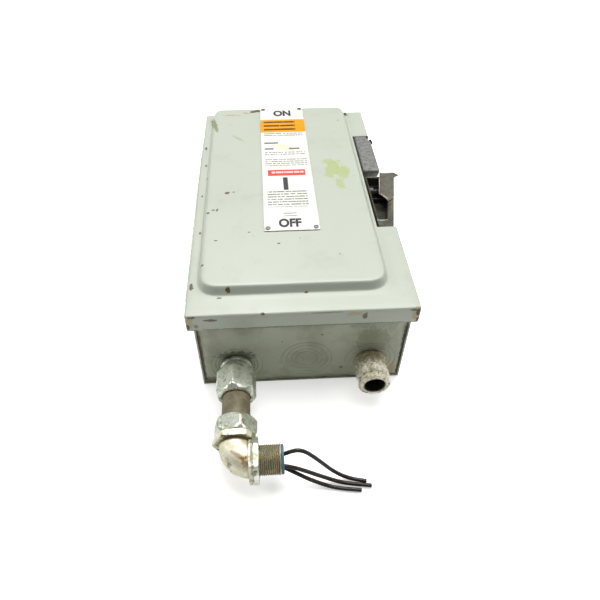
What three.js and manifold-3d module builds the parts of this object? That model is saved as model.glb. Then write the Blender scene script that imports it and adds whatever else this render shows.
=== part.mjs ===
// Fused disconnect switch, lying on its back. Millimetres, +Z out of the front cover,
// +Y to the top end, +X to the handle side. Origin: middle of the back panel's rear face.
import * as THREE from 'three';
import { mergeVertices } from 'three/addons/utils/BufferGeometryUtils.js';
import Module from 'manifold-3d';

const wasm = await Module();
wasm.setup();

// ---------- driving dimensions ----------
const gap = 0.3;                 // clearance between pieces that touch
const sheet = 1.6;               // steel sheet of box and cover
const cover = { width: 215, length: 376, level: 105.6, lip: 19.3 };
const panel = { left: -98, right: 83.5, bottom: -163, top: 187.6, rise: 8.5, slope: 4, topSlope: 0.6, corner: 17 };
const box = { width: 202.6, length: 371.8, rim: 100.9, flange: 10 };
const endWall = { face: 185.2, half: 99.4, flange: 12 };
const recess = { left: 86.5, bottom: -69, top: 122, floor: 69.6 };
const hinge = { x: -109.9, z: 86.3, knuckle: 1.9, bore: 1.35, pin: 1.0 };
const label = { left: -33, right: 24.5, bottom: -82, top: 185.4, thick: 0.8 };
const pivot = { y: 14, z: 91, shaft: 5 };           // operating handle
const lever = { left: 88.8, tip: -67, tipWidth: 16.2, back: 29, right: 119.5, low: 80, high: 104.2, wall: 3 };
const housing = { left: 88.3, right: 108.3, bottom: 38.5, top: 121, low: 70, high: 106.3, wall: 3 };
const crank = { x0: 66, x1: 70, reach: 14, angle: -102.6, pin: 2 };
const bar = { y: 40, z: 30, half: 6.5, left: -72, right: 50, reach: 21, angle: -125.1, journal: 4 };
const blade = { length: 62, width: 15, thick: 3, openAngle: 65 };
const poles = [-52, -6, 40];     // x of the three poles
const base = { left: -76, right: 64, low: 1.9, high: 13.7, barrier: 3, barrierTop: 50 };
const fuse = { radius: 10.3, z: 32, top: -7, bottom: -134, cap: 17 };
const conduit = { x: -65.5, z: 28.5, radius: 13.35, bore: 9.5, legY: -289.2, turnRadius: 15.2 };
const grip = { x: 68.3, z: 28.5 };
const knockoutZ = 34;
const ringRadii = [25.2, 20.5, 15.5, 11];           // concentric knockout rings
const knockoutX = 4;
const wireRadius = 1.8;

// ---------- finishes ----------
const finish = (color, roughness, metalness) => () => new THREE.MeshStandardMaterial({ color, roughness, metalness });
const paint = finish(0xd9dfd1, 0.5, 0);
const paintShade = finish(0x9aa393, 0.55, 0);
const zinc = finish(0xc9ccc4, 0.35, 0.9);
const castZinc = finish(0xa9a79f, 0.6, 0.6);
const steel = finish(0x8d8f8c, 0.4, 0.9);
const copper = finish(0xb87a4b, 0.35, 0.9);
const phenolic = finish(0x2b2624, 0.6, 0);
const fibre = finish(0xb9a27c, 0.75, 0);
const foam = finish(0x3a3a3a, 0.9, 0);
const vinyl = finish(0x6e655c, 0.6, 0);
const bluePlastic = finish(0x4f7f9a, 0.5, 0);
const blackPvc = finish(0x15151a, 0.45, 0);
const printed = finish(0xf2f2ee, 0.4, 0.1);

// ---------- solids and joining ----------
function solid(geometry) {
  const bare = geometry.index ? geometry.toNonIndexed() : geometry.clone();
  for (const name of Object.keys(bare.attributes)) if (name !== 'position') bare.deleteAttribute(name);
  const merged = mergeVertices(bare, 1e-4);
  return new wasm.Manifold(new wasm.Mesh({
    numProp: 3,
    vertProperties: new Float32Array(merged.attributes.position.array),
    triVerts: new Uint32Array(merged.index.array),
  }));
}

function geometryOf(body) {
  const mesh = body.getMesh();
  const geometry = new THREE.BufferGeometry();
  geometry.setAttribute('position', new THREE.BufferAttribute(new Float32Array(mesh.vertProperties), 3));
  geometry.setIndex(new THREE.BufferAttribute(new Uint32Array(mesh.triVerts), 1));
  geometry.computeVertexNormals();
  return geometry;
}

const join = (...bodies) => bodies.reduce((sum, next) => sum.add(next));
const cut = (body, ...tools) => tools.reduce((left, tool) => left.subtract(tool), body);

const block = (x0, x1, y0, y1, z0, z1) => loft([z0, z1].map((z) => [[x0, y0, z], [x1, y0, z], [x1, y1, z], [x0, y1, z]]));

// A cylinder or cone along 'x', 'y' or 'z', from a to b on that axis, through (p, q) on the other two.
function rod(axis, a, b, p, q, radius, sides = 20, radiusAtB = radius, turn = 0) {
  const geometry = new THREE.CylinderGeometry(radiusAtB, radius, b - a, sides);
  geometry.rotateY(turn).translate(0, (a + b) / 2, 0);
  if (axis === 'x') geometry.rotateZ(-Math.PI / 2).translate(0, p, q);
  if (axis === 'y') geometry.translate(p, 0, q);
  if (axis === 'z') geometry.rotateX(Math.PI / 2).translate(p, q, 0);
  return solid(geometry);
}

const ring = (axis, a, b, p, q, outer, inner, sides = 20) =>
  cut(rod(axis, a, b, p, q, outer, sides), rod(axis, a - 1, b + 1, p, q, inner, sides));

// An outline [[u, v], ...] given thickness along z from z0 to z1.
function plate(points, z0, z1) {
  const outline = new THREE.Shape(points.map(([u, v]) => new THREE.Vector2(u, v)));
  const geometry = new THREE.ExtrudeGeometry(outline, { depth: z1 - z0, bevelEnabled: false });
  return solid(geometry.translate(0, 0, z0));
}

// An outline [[y, z], ...] given thickness along x from x0 to x1.
function sidePlate(points, x0, x1) {
  const outline = new THREE.Shape(points.map(([u, v]) => new THREE.Vector2(u, v)));
  const geometry = new THREE.ExtrudeGeometry(outline, { depth: x1 - x0, bevelEnabled: false });
  geometry.rotateY(Math.PI / 2).rotateX(Math.PI / 2);
  return solid(geometry.translate(x0, 0, 0));
}

// A turned body round an axis parallel to y: profile [[radius, y], ...] that closes on the axis or on itself.
function turned(profile, x, z, sides = 24) {
  const closed = [...profile, profile[0]].map(([r, y]) => new THREE.Vector2(r, y));
  const geometry = new THREE.LatheGeometry(closed, sides);
  let body = solid(geometry);
  if (body.volume() < 0) {
    geometry.index.array.reverse();
    body = solid(geometry);
  }
  return body.translate([x, 0, z]);
}

function roundedRectangle(x0, x1, y0, y1, radius, z, steps = 4) {
  const corners = [[x1 - radius, y1 - radius, 0], [x0 + radius, y1 - radius, 1],
    [x0 + radius, y0 + radius, 2], [x1 - radius, y0 + radius, 3]];
  return corners.flatMap(([cx, cy, quarter]) => Array.from({ length: steps + 1 }, (_, i) => {
    const angle = (quarter + i / steps) * Math.PI / 2;
    return [cx + radius * Math.cos(angle), cy + radius * Math.sin(angle), z];
  }));
}

// A convex solid skinned from the bottom ring to the top ring.
function loft(rings) {
  const count = rings[0].length;
  const triangles = [];
  for (let r = 0; r + 1 < rings.length; r += 1) {
    for (let i = 0; i < count; i += 1) {
      const [a, b] = [rings[r][i], rings[r][(i + 1) % count]];
      const [c, d] = [rings[r + 1][i], rings[r + 1][(i + 1) % count]];
      triangles.push(a, b, d, a, d, c);
    }
  }
  const [low, high] = [rings[0], rings[rings.length - 1]];
  for (let i = 1; i + 1 < count; i += 1) {
    triangles.push(low[0], low[i + 1], low[i], high[0], high[i], high[i + 1]);
  }
  const geometry = new THREE.BufferGeometry();
  geometry.setAttribute('position', new THREE.Float32BufferAttribute(triangles.flat(), 3));
  return solid(geometry);
}

// A round bar along a curve, or along a smooth line through points.
function bend(route, radius, sides, steps) {
  const path = route instanceof THREE.Curve ? route
    : new THREE.CatmullRomCurve3(route.map((p) => new THREE.Vector3(...p)), false, 'centripetal');
  const section = new THREE.Shape(Array.from({ length: sides }, (_, i) => {
    const angle = (2 * Math.PI * i) / sides;
    return new THREE.Vector2(radius * Math.cos(angle), radius * Math.sin(angle));
  }));
  return new THREE.ExtrudeGeometry(section, { steps, extrudePath: path, bevelEnabled: false });
}

const radians = (degrees) => (degrees * Math.PI) / 180;
const polar = (y, z, reach, degrees) =>
  [y + reach * Math.cos(radians(degrees)), z + reach * Math.sin(radians(degrees))];

// A flat bar in a plane of constant x, from one centre to another, with round ends.
function strap(x0, x1, [ya, za], [yb, zb], halfWidth) {
  const along = Math.atan2(zb - za, yb - ya);
  const points = [];
  for (const [y, z, start] of [[yb, zb, along - Math.PI / 2], [ya, za, along + Math.PI / 2]]) {
    for (let i = 0; i <= 8; i += 1) {
      const angle = start + (Math.PI * i) / 8;
      points.push([y + halfWidth * Math.cos(angle), z + halfWidth * Math.sin(angle)]);
    }
  }
  return sidePlate(points, x0, x1);
}

// ---------- the assembly ----------
const assembly = new THREE.Group();
function add(name, shape, material) {
  const mesh = new THREE.Mesh(shape.isBufferGeometry ? shape : geometryOf(shape), material());
  mesh.name = name;
  assembly.add(mesh);
}

// Enclosure: one sheet makes the back and both sides, with short flanges at the front rim.
function enclosureWrapper() {
  const [halfX, halfY] = [box.width / 2, box.length / 2];
  const flangeEnd = endWall.face - endWall.flange - 3;
  const notch = block(recess.left - 8.3, halfX + 1, recess.bottom - sheet - gap - 0.7,
    recess.top + sheet + gap + 0.7, recess.floor - sheet - gap, box.rim + 1);
  const mountingHoles = [-82, 82].flatMap((x) => [-168, 166].map((y) => rod('z', -1, 3, x, y, 3.6, 16)));
  return cut(
    block(-halfX, halfX, -halfY, halfY, 0, box.rim),
    block(-halfX + sheet, halfX - sheet, -halfY - 1, halfY + 1, sheet, box.rim - sheet),
    block(-halfX + box.flange, halfX - box.flange, -halfY - 1, halfY + 1, sheet + 1, box.rim + 1),
    block(-halfX + sheet, halfX - sheet, -halfY - 1, -flangeEnd, sheet + 1, box.rim + 1),
    block(-halfX + sheet, halfX - sheet, flangeEnd, halfY + 1, sheet + 1, box.rim + 1),
    notch,
    ...mountingHoles,
  );
}

// End walls: shallow pans that close the wrapper, with shear rings of the concentric knockouts.
function ringGroove(x, radius, side, z = knockoutZ) {
  const outer = endWall.face * side;
  const depth = 0.7 * side;
  const [a, b] = [outer - depth, outer + side].sort((p, q) => p - q);
  return ring('y', a, b, x, z, radius + 0.35, radius - 0.35, 20);
}

function endPan(side) {
  const span = (near, far) => [side * (endWall.face - near), side * (endWall.face - far)].sort((p, q) => p - q);
  const [h, low] = [endWall.half, sheet + gap];
  return cut(
    block(-h, h, ...span(0, endWall.flange), low, box.rim),
    block(-h + sheet, h - sheet, ...span(sheet, endWall.flange + 1), low + sheet, box.rim - sheet),
  );
}

function bottomEndWall() {
  const grooves = [
    ...ringRadii.map((r) => ringGroove(knockoutX, r, -1)),
    ringGroove(conduit.x, ringRadii[0], -1, conduit.z),
    ringGroove(grip.x, ringRadii[0], -1, grip.z),
  ];
  const holes = [
    rod('y', -endWall.face - 2, -endWall.face + 3, conduit.x, conduit.z, 13.6, 24),
    rod('y', -endWall.face - 2, -endWall.face + 3, grip.x, grip.z, 11.4, 24),
  ];
  return cut(endPan(-1), ...grooves, ...holes);
}

const topEndWall = () => cut(endPan(1), ...ringRadii.slice(0, 1).map((r) => ringGroove(knockoutX, r, 1)));

// The handle's recess: a pan let into the box's right front edge, with a flange towards the cover's middle.
function handleRecess() {
  const [wallX, outX, flangeX] = [recess.left - sheet, box.width / 2, recess.left - 8];
  const [y0, y1] = [recess.bottom - sheet, recess.top + sheet];
  return cut(
    block(flangeX, outX, y0, y1, recess.floor - sheet, box.rim),
    block(recess.left, outX + 1, recess.bottom, recess.top, recess.floor, box.rim + 1),
    block(flangeX - 1, wallX, y0 - 1, y1 + 1, recess.floor - sheet - 1, box.rim - sheet),
    block(flangeX - 1, wallX, pivot.y - 11, pivot.y + 11, recess.floor, box.rim + 1),
    rod('x', wallX - 1, recess.left + 1, pivot.y, pivot.z, 6.8),
  );
}

// Cover: flat border, lip all round, pressed panel, and a notch at the handle.
function coverShell() {
  const [halfX, halfY] = [cover.width / 2, cover.length / 2];
  const [z0, z1, low] = [cover.level - sheet, cover.level, cover.level - cover.lip];
  const frustum = (inset, bottom, top, slope, topSlope) => loft([
    roundedRectangle(panel.left + inset, panel.right - inset, panel.bottom + inset, panel.top - inset,
      panel.corner, bottom),
    roundedRectangle(panel.left + inset + slope, panel.right - inset - slope, panel.bottom + inset + slope,
      panel.top - inset - topSlope, panel.corner, top),
  ]);
  const tray = cut(
    block(-halfX, halfX, -halfY, halfY, low, z1),
    block(-halfX + sheet, halfX - sheet, -halfY + sheet, halfY - sheet, low - 1, z0),
  );
  const shell = join(tray, frustum(0, z0 + 0.5, z1 + panel.rise, panel.slope, panel.topSlope));
  const hollow = frustum(sheet, z0 - 1, z1 + panel.rise - sheet, panel.slope, panel.topSlope);
  const notch = block(recess.left, halfX + 1, recess.bottom, recess.top, low - 1, z1 + 20);
  return cut(shell, hollow, notch, ...rivetPlaces.map(([x, y]) => rod('z', z1, z1 + 20, x, y, 1.6, 12)));
}

const rivetPlaces = [
  [label.left + 4, label.top - 4], [label.right - 4, label.top - 4],
  [label.left + 4, label.bottom + 4], [label.right - 4, label.bottom + 4],
];
const labelLow = cover.level + panel.rise + gap;

function ratingLabel() {
  const sheetBody = block(label.left, label.right, label.bottom, label.top, labelLow, labelLow + label.thick);
  return cut(sheetBody, ...rivetPlaces.map(([x, y]) => rod('z', labelLow - 1, labelLow + 3, x, y, 1.6, 12)));
}

function labelRivet([x, y]) {
  const headLow = labelLow + label.thick + gap;
  return join(
    rod('z', headLow, headLow + 0.5, x, y, 2.6, 12),
    rod('z', headLow + 0.5, headLow + 1.1, x, y, 2.6, 12, 1.5),
    rod('z', labelLow - 3, headLow + 0.1, x, y, 1.2, 12),
  );
}

function coverGasket() {
  const band = 6;
  const [x, y] = [100, 183.5];
  const inX = recess.left - 1.5;
  const outer = [[-x, -y], [x, -y], [x, recess.bottom - 4], [inX, recess.bottom - 4], [inX, recess.top + 4],
    [x, recess.top + 4], [x, y], [-x, y]];
  const inner = [[-x + band, -y + band], [x - band, -y + band], [x - band, recess.bottom - 4 - band],
    [inX - band, recess.bottom - 4 - band], [inX - band, recess.top + 4 + band],
    [x - band, recess.top + 4 + band], [x - band, y - band], [-x + band, y - band]];
  return cut(plate(outer, box.rim + gap, cover.level - sheet - gap), plate(inner, box.rim - 1, cover.level));
}

// Hinge: knuckles on one line outside the cover's left lip, just above its lower edge.
const boxKnuckles = [[-150, -90], [-30, 30], [90, 150]];
const coverKnuckles = [[-89.6, -30.4], [30.4, 89.6]];

function hingeLeaf(spans, wing, arm) {
  const barrels = spans.map(([a, b]) => rod('y', a, b, hinge.x, hinge.z, hinge.knuckle, 16));
  const bores = spans.map(([a, b]) => rod('y', a - 0.1, b + 0.1, hinge.x, hinge.z, hinge.bore, 16));
  return cut(join(wing, ...barrels, ...spans.map(([a, b]) => arm(a, b))), ...bores);
}

function hingeBoxLeaf() {
  const wall = -box.width / 2 - gap;
  const low = hinge.z - hinge.knuckle;
  const wing = join(block(-107.4, wall, -150, 150, low, low + 1.2), block(wall - 1.3, wall, -150, 150, 66, low + 1.2));
  return hingeLeaf(boxKnuckles, wing, (a, b) => block(hinge.x, -107, a, b, low, low + 0.5));
}

function hingeCoverLeaf() {
  const lipFace = -cover.width / 2 - gap;
  const wing = block(lipFace - 1.3, lipFace, -89.6, 89.6, hinge.z + hinge.knuckle + 0.4, 101);
  return hingeLeaf(coverKnuckles, wing, (a, b) => block(lipFace - 0.6, lipFace, a, b, hinge.z, 90));
}

// Spring latch inside the cover's right lip: a bent strip of spring steel.
function coverLatchSpring() {
  const inside = cover.width / 2 - sheet - gap;
  return plate([[inside, 84.5], [inside, 103], [inside - 0.9, 103], [inside - 0.9, 92],
    [inside - 3.2, 88.5], [inside - 1.6, 84.5]], -128, -108)
    .rotate([90, 0, 0]).translate([0, -236, 0]);
}

const lockScrewAt = { y: 115.5, z: 99 };

// Handle housing: a hollow casting beside the lever, near face undercut, far right corner chamfered.
function handleHousing() {
  const h = housing;
  const outline = [[h.left, h.bottom], [h.right, h.bottom], [h.right, h.top - 17], [h.right - 5, h.top],
    [h.left, h.top]];
  const undercut = sidePlate([[h.bottom - 1, h.high - 3], [h.bottom + 9, h.low + 18], [h.bottom + 9, h.low - 1],
    [h.bottom - 1, h.low - 1]], h.left - 1, h.right + 1);
  const hollow = block(h.left + h.wall, h.right - h.wall, h.bottom + 13, h.top - 18, h.low - 1, h.high - h.wall);
  const screwHole = rod('x', h.right - 10, h.right + 1, lockScrewAt.y, lockScrewAt.z, 2.8, 16);
  return cut(plate(outline, h.low, h.high), undercut, hollow, screwHole);
}

function lockScrew() {
  const { y, z } = lockScrewAt;
  return join(
    rod('x', housing.right - 9.5, housing.right, y, z, 2.4, 16),
    rod('x', housing.right - 0.5, housing.right + 2.5, y, z, 4, 16),
    rod('x', housing.right + 2.5, housing.right + 4, y, z, 2, 12),
  );
}

// Operating lever: a trough, narrow at the tip and flared to the hub, open to the front.
const leverRight = (y) => lever.left + lever.tipWidth
  + ((y - lever.tip) / (8 - lever.tip)) * (lever.right - lever.left - lever.tipWidth);

function operatingLever() {
  const l = lever;
  const outside = plate([[l.left, l.tip], [leverRight(l.tip), l.tip], [l.right, 8], [l.right, l.back],
    [l.left, l.back]], l.low, l.high);
  const inside = plate([[l.left + l.wall, l.tip + 5], [leverRight(l.tip + 5) - l.wall, l.tip + 5],
    [l.right - l.wall, 8], [l.right - l.wall, l.back - l.wall], [l.left + l.wall, l.back - l.wall]],
  l.low + l.wall, l.high + 1);
  const shaftHole = rod('x', l.left - 1, l.left + l.wall + 1, pivot.y, pivot.z, pivot.shaft + gap);
  return cut(outside, inside, shaftHole);
}

// Lockout tab: a bright plate over the hub, with a ragged diagonal edge and a pointed tongue.
function lockoutTab() {
  const low = lever.high + gap;
  return plate([[99, -10], [102.2, -12.4], [104.4, -17.5], [107.2, -22.5], [110.6, -20], [115.2, -14.2], [117.4, -2],
    [122.4, 22.5], [129.5, 28.4], [124.5, 33.2], [121, 35], [107, 35.4], [103.4, 17]], low, low + 1.6);
}

const handleShaft = () => join(
  rod('x', crank.x0 - 1, lever.left + 22, pivot.y, pivot.z, pivot.shaft),
  rod('x', lever.left + lever.wall + gap, lever.left + 8, pivot.y, pivot.z, 7.5),
);

const shaftBushing = () => cut(
  join(rod('x', 83, 88.4, pivot.y, pivot.z, 6.5), rod('x', 81.6, 84.5, pivot.y, pivot.z, 8.5)),
  rod('x', 80, 90, pivot.y, pivot.z, pivot.shaft + gap),
);

function torsionSpring() {
  const turns = 3.5;
  const points = Array.from({ length: 29 }, (_, i) => {
    const angle = (i / 28) * turns * 2 * Math.PI;
    return [71.5 + (i / 28) * 8.5, pivot.y + 7.2 * Math.cos(angle), pivot.z + 7.2 * Math.sin(angle)];
  });
  return bend(points, 0.8, 6, 42);
}

// Crank on the shaft, link, and the arm of the blade bar.
const crankPin = polar(pivot.y, pivot.z, crank.reach, crank.angle);
const armPin = polar(bar.y, bar.z, bar.reach, bar.angle);

const operatingCrank = () => cut(
  join(
    strap(crank.x0, crank.x1, [pivot.y, pivot.z], crankPin, 5),
    rod('x', crank.x0, crank.x1, pivot.y, pivot.z, 9),
    rod('x', 59.8, crank.x1, ...crankPin, crank.pin, 16),
  ),
  rod('x', crank.x0 - 1, crank.x1 + 1, pivot.y, pivot.z, pivot.shaft + gap),
);

// The link's lower eye is a short slot, because the arm's pin runs 2.6 mm across it in mid throw.
const slotEnds = [[armPin[0] - 0.1, armPin[1] + 0.4], [armPin[0] + 2.6, armPin[1] + 0.4]];
const driveLink = () => cut(
  join(strap(61.2, 64.4, crankPin, armPin, 5), strap(61.2, 64.4, ...slotEnds, 7)),
  rod('x', 60, 66, ...crankPin, crank.pin + 0.35, 16),
  strap(60, 66, ...slotEnds, crank.pin + 1.25),
);

const crossbar = () => join(
  rod('x', bar.left, bar.right, bar.y, bar.z, bar.half * Math.SQRT2, 4, bar.half * Math.SQRT2,
    radians(45 + blade.openAngle)),
  rod('x', bar.left - 8, bar.right + 20, bar.y, bar.z, bar.journal),
  strap(bar.right, bar.right + 3.5, [bar.y, bar.z], armPin, 5),
  rod('x', bar.right, 64.8, ...armPin, crank.pin, 16),
);

function movingBlade(x) {
  const shape = [[6.9, -6], [blade.length - 4, -blade.width / 2], [blade.length, -blade.width / 2 + 4],
    [blade.length, blade.width / 2 - 4], [blade.length - 4, blade.width / 2], [6.9, 6]];
  const turn = radians(blade.openAngle);
  const placed = shape.map(([s, t]) => [
    bar.y + s * Math.cos(turn) - t * Math.sin(turn), bar.z + s * Math.sin(turn) + t * Math.cos(turn)]);
  return sidePlate(placed, x - blade.thick / 2, x + blade.thick / 2);
}

function crossbarBearing(x0, x1, footX0, footX1) {
  const post = join(block(x0, x1, bar.y - 12, bar.y + 12, base.low, 40),
    block(footX0, footX1, bar.y - 12, bar.y + 12, base.low, base.low + 3));
  return cut(post, rod('x', x0 - 1, x1 + 1, bar.y, bar.z, bar.journal + 0.35));
}

// Insulating bases: a slab with upright barriers outside and between the poles.
function insulatingBase(y0, y1) {
  const middles = [base.left + base.barrier / 2, (poles[0] + poles[1]) / 2, (poles[1] + poles[2]) / 2,
    base.right - base.barrier / 2];
  return join(
    block(base.left, base.right, y0, y1, base.low, base.high),
    ...middles.map((x) => block(x - base.barrier / 2, x + base.barrier / 2, y0, y1, base.low, base.barrierTop)),
  );
}

const wireLug = (x, y0, y1, z0) => cut(
  block(x - 8, x + 8, y0, y1, z0, z0 + 15),
  rod('y', y0 - 1, y1 + 1, x, z0 + 6, 4, 16),
  rod('z', z0 + 9, z0 + 16, x, (y0 + y1) / 2, 4, 16),
);

// Line terminal of one pole: spring jaw for the blade, strap and wire lug.
function lineTerminal(x) {
  const low = base.high + gap;
  const leaf = (side) => {
    const [a, b] = [x + side * (blade.thick / 2 + 0.5), x + side * (blade.thick / 2 + 2.3)].sort((p, q) => p - q);
    return block(a, b, 86, 106, low, 40);
  };
  return join(block(x - 7, x + 7, 84, 150, low, low + 2.5), leaf(-1), leaf(1), wireLug(x, 132, 150, low + 2));
}

// Fuse clip: a split ring on a short post, opening to the front.
function fuseClip(x, y0, y1) {
  const [inner, outer] = [fuse.radius + 0.5, fuse.radius + 1.7];
  const openWedge = sidePlate([[0, 0], [14, 16], [-14, 16]], y0 - 1, y1 + 1)
    .rotate([0, 0, 90]).translate([x, 0, fuse.z]);
  const split = cut(ring('y', y0, y1, x, fuse.z, outer, inner, 20), openWedge);
  return join(split, block(x - 5, x + 5, y0, y1, base.high + gap, fuse.z - inner - 0.3));
}

const loadTerminal = (x) => join(
  fuseClip(x, -133, -119),
  block(x - 5, x + 5, -156, -119, base.high + gap, base.high + gap + 2.5),
  wireLug(x, -156, -139, base.high + gap + 2),
);

const cartridgeFuse = (x) => join(
  rod('y', fuse.bottom, fuse.bottom + fuse.cap, x, fuse.z, fuse.radius, 20),
  rod('y', fuse.bottom + fuse.cap, fuse.top - fuse.cap, x, fuse.z, fuse.radius - 0.5, 20),
  rod('y', fuse.top - fuse.cap, fuse.top, x, fuse.z, fuse.radius, 20),
);

const lineShield = () => join(
  block(base.left, base.right, 112, 166, 50.4, 52),
  block(base.left, base.right, 112, 113.6, 50.4, 58),
);

const groundLug = () => join(wireLug(84, -160, -146, base.low + 2), block(76, 92, -162, -138, base.low, base.low + 2.2));

// Left fitting, along -y from the end wall: connector, gland nut, tube, gland nut, elbow.
// A hexagonal nut is a six-sided prism whose ends are rounded off by a turned body.
function hexNut(y0, y1, x, z, radius, turn, nose, tail, bores) {
  const hex = rod('y', y0, y1, x, z, radius, 6, radius, turn);
  const rounder = turned([[0, y0], [radius - nose, y0], [radius + 0.2, y0 + nose * 1.4],
    [radius + 0.2, y1 - tail * 1.2], [radius - tail, y1], [0, y1]], x, z, 24);
  return cut(hex.intersect(rounder), ...bores.map(([a, b, r]) => rod('y', a, b, x, z, r, 24)));
}

const connectorBody = () => turned([[10.2, -174], [13.2, -174], [13.2, -185.5], [16, -185.5], [16, -189.5],
  [14.2, -190.5], [14.2, -203.4], [10.2, -203.4]], conduit.x, conduit.z);

const connectorNut = () => hexNut(-224.4, -195, conduit.x, conduit.z, 20.4, radians(9), 3.6, 2.6,
  [[-205.4, -194, 14.6], [-225, -204.4, conduit.radius + gap]]);

const conduitTube = () => ring('y', -259.5, -204.8, conduit.x, conduit.z, conduit.radius, conduit.bore, 24);

const elbowNut = () => hexNut(-266.6, -250.2, conduit.x, conduit.z, 20.6, radians(-19), 2.2, 2.8,
  [[-260, -249, conduit.radius + gap], [-268, -259.8, 14.9]]);

class QuarterTurn extends THREE.Curve {
  getPoint(t) {
    const { x, z, legY, turnRadius } = conduit;
    const angle = Math.PI * (1 + t / 2);
    return new THREE.Vector3(x + turnRadius * (1 + Math.cos(angle)), legY + turnRadius * (1 + Math.sin(angle)), z);
  }
}

function elbowBody() {
  const { x, z, legY, turnRadius } = conduit;
  const skin = join(
    solid(bend(new QuarterTurn(), 14.8, 20, 8)),
    rod('y', legY + turnRadius - 0.1, -263, x, z, 14.4, 24),
    cut(rod('y', -273.6, -267.8, x, z, 21.4, 6), block(-50.1, -40, -290, -260, 0, 70)),
    rod('x', -53.5, -50, legY, z, 20.8, 6, 20.8, radians(-16.3)),
    rod('x', x + turnRadius - 0.1, -26, legY, z, 13.5, 24),
  );
  return cut(
    skin,
    solid(bend(new QuarterTurn(), 9.8, 16, 8)),
    rod('y', legY + turnRadius - 0.2, -262, x, z, 9.8, 24),
    rod('x', x + turnRadius - 0.2, -25, legY, z, 9.8, 24),
  );
}

const elbowLocknut = () => cut(
  rod('x', -49.6, -45, conduit.legY, conduit.z, 21, 6, 21, radians(-16.3)),
  rod('x', -51, -44, conduit.legY, conduit.z, 13.9, 24),
);

const throatLiner = () => ring('x', -25.7, -23.2, conduit.legY, conduit.z, 12.8, 9.9, 24);

// Right fitting: rough cast connector with a lobed nut and an open mouth.
const stubbyConnector = () => turned([[9.4, -176], [11, -176], [11, -185.5], [15.2, -185.5], [15.2, -189.6],
  [13.4, -190.6], [13.4, -199], [11.7, -199], [11.7, -209], [9.4, -209]], grip.x, grip.z);

function lobedNut() {
  const lobes = 8;
  const outline = Array.from({ length: 48 }, (_, i) => {
    const angle = (i / 48) * 2 * Math.PI;
    const r = 15.9 + 0.8 * Math.cos(lobes * angle);
    return [r * Math.cos(angle), r * Math.sin(angle)];
  });
  const crown = plate(outline, 0, 11.2).rotate([90, 0, 0]).translate([grip.x, -199.4, grip.z]);
  const mouth = turned([[0, -210.2], [14.6, -210.2], [15.6, -217.2], [0, -217.2]], grip.x, grip.z);
  return cut(join(crown, mouth), rod('y', -209.4, -198.2, grip.x, grip.z, 12.1, 24),
    rod('y', -218.2, -208.2, grip.x, grip.z, 9.9, 24));
}

const panelLocknut = (x, z, radius, bore) => hexNut(-183.2, -179.4, x, z, radius, radians(4), 1, 1,
  [[-184, -178, bore]]);

// Three wires leave the elbow's mouth and come down to lie on the surface.
const wireRoutes = {
  wire_rear: [[-37, -287.7, 31], [-30, -287.7, 32.7], [-24, -287.8, 34.5], [-17, -287.3, 37.6], [-11, -287.2, 38.9],
    [-5, -287.8, 36.8], [1, -289, 31.6], [6.5, -290.3, 25.9], [12.5, -291.8, 19.2], [18.5, -293.3, 12.7],
    [25, -295, 7.6], [31.5, -296.4, 3.8], [38, -297.9, 2.1], [44, -299.3, 1.9], [50, -300.6, 1.9]],
  wire_middle: [[-37, -293.6, 29.9], [-30, -294.6, 29.1], [-24, -295.2, 27.9], [-15, -296, 25.2], [-5, -296.8, 19.6],
    [5, -297.7, 13.3], [14, -298.8, 8.3], [22, -300.2, 4.9], [30, -301.4, 2.6], [38, -302.6, 1.9],
    [46, -303.8, 1.9], [54, -305, 1.9]],
  wire_front: [[-37, -292.6, 24.9], [-30, -293.6, 24.3], [-24, -294.4, 23.5], [-14, -297.3, 18.5], [-4, -299.7, 12.1],
    [4, -301.2, 7.4], [12, -302.8, 3.7], [20, -304.7, 2], [28, -306.4, 1.9], [36, -307.6, 1.9], [44.5, -308.7, 1.9]],
};

// ---------- build the pieces ----------
add('enclosure_wrapper', enclosureWrapper(), paintShade);
add('bottom_end_wall', bottomEndWall(), paintShade);
add('top_end_wall', topEndWall(), paintShade);
add('handle_recess', handleRecess(), paintShade);
add('cover', coverShell(), paint);
add('cover_gasket', coverGasket(), foam);
add('hinge_box_leaf', hingeBoxLeaf(), zinc);
add('hinge_cover_leaf', hingeCoverLeaf(), zinc);
add('hinge_pin', rod('y', -151.5, 151.5, hinge.x, hinge.z, hinge.pin, 12), steel);
add('cover_latch_spring', coverLatchSpring(), steel);
add('rating_label', ratingLabel(), printed);
rivetPlaces.forEach((place, i) => add(`label_rivet_${i + 1}`, labelRivet(place), steel));
add('handle_housing', handleHousing(), castZinc);
add('housing_lock_screw', lockScrew(), steel);
add('operating_lever', operatingLever(), castZinc);
add('lockout_tab', lockoutTab(), zinc);
add('handle_shaft', handleShaft(), steel);
add('shaft_bushing', shaftBushing(), copper);
add('torsion_spring', torsionSpring(), steel);
add('operating_crank', operatingCrank(), steel);
add('drive_link', driveLink(), steel);
add('crossbar', crossbar(), phenolic);
add('crossbar_bearing_left', crossbarBearing(-78.5, -75.5, -90, -75.5), steel);
add('crossbar_bearing_right', crossbarBearing(66, 69, 66, 80), steel);
add('line_base', insulatingBase(82, 168), phenolic);
add('fuse_base', insulatingBase(-160, 2), phenolic);
poles.forEach((x, i) => {
  add(`moving_blade_${i + 1}`, movingBlade(x), copper);
  add(`line_terminal_${i + 1}`, lineTerminal(x), copper);
  add(`upper_fuse_clip_${i + 1}`, fuseClip(x, -22, -8), copper);
  add(`load_terminal_${i + 1}`, loadTerminal(x), copper);
  add(`cartridge_fuse_${i + 1}`, cartridgeFuse(x), fibre);
});
add('line_shield', lineShield(), fibre);
add('ground_lug', groundLug(), zinc);
add('connector_body', connectorBody(), zinc);
add('connector_locknut', panelLocknut(conduit.x, conduit.z, 19.4, 13.6), zinc);
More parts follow.
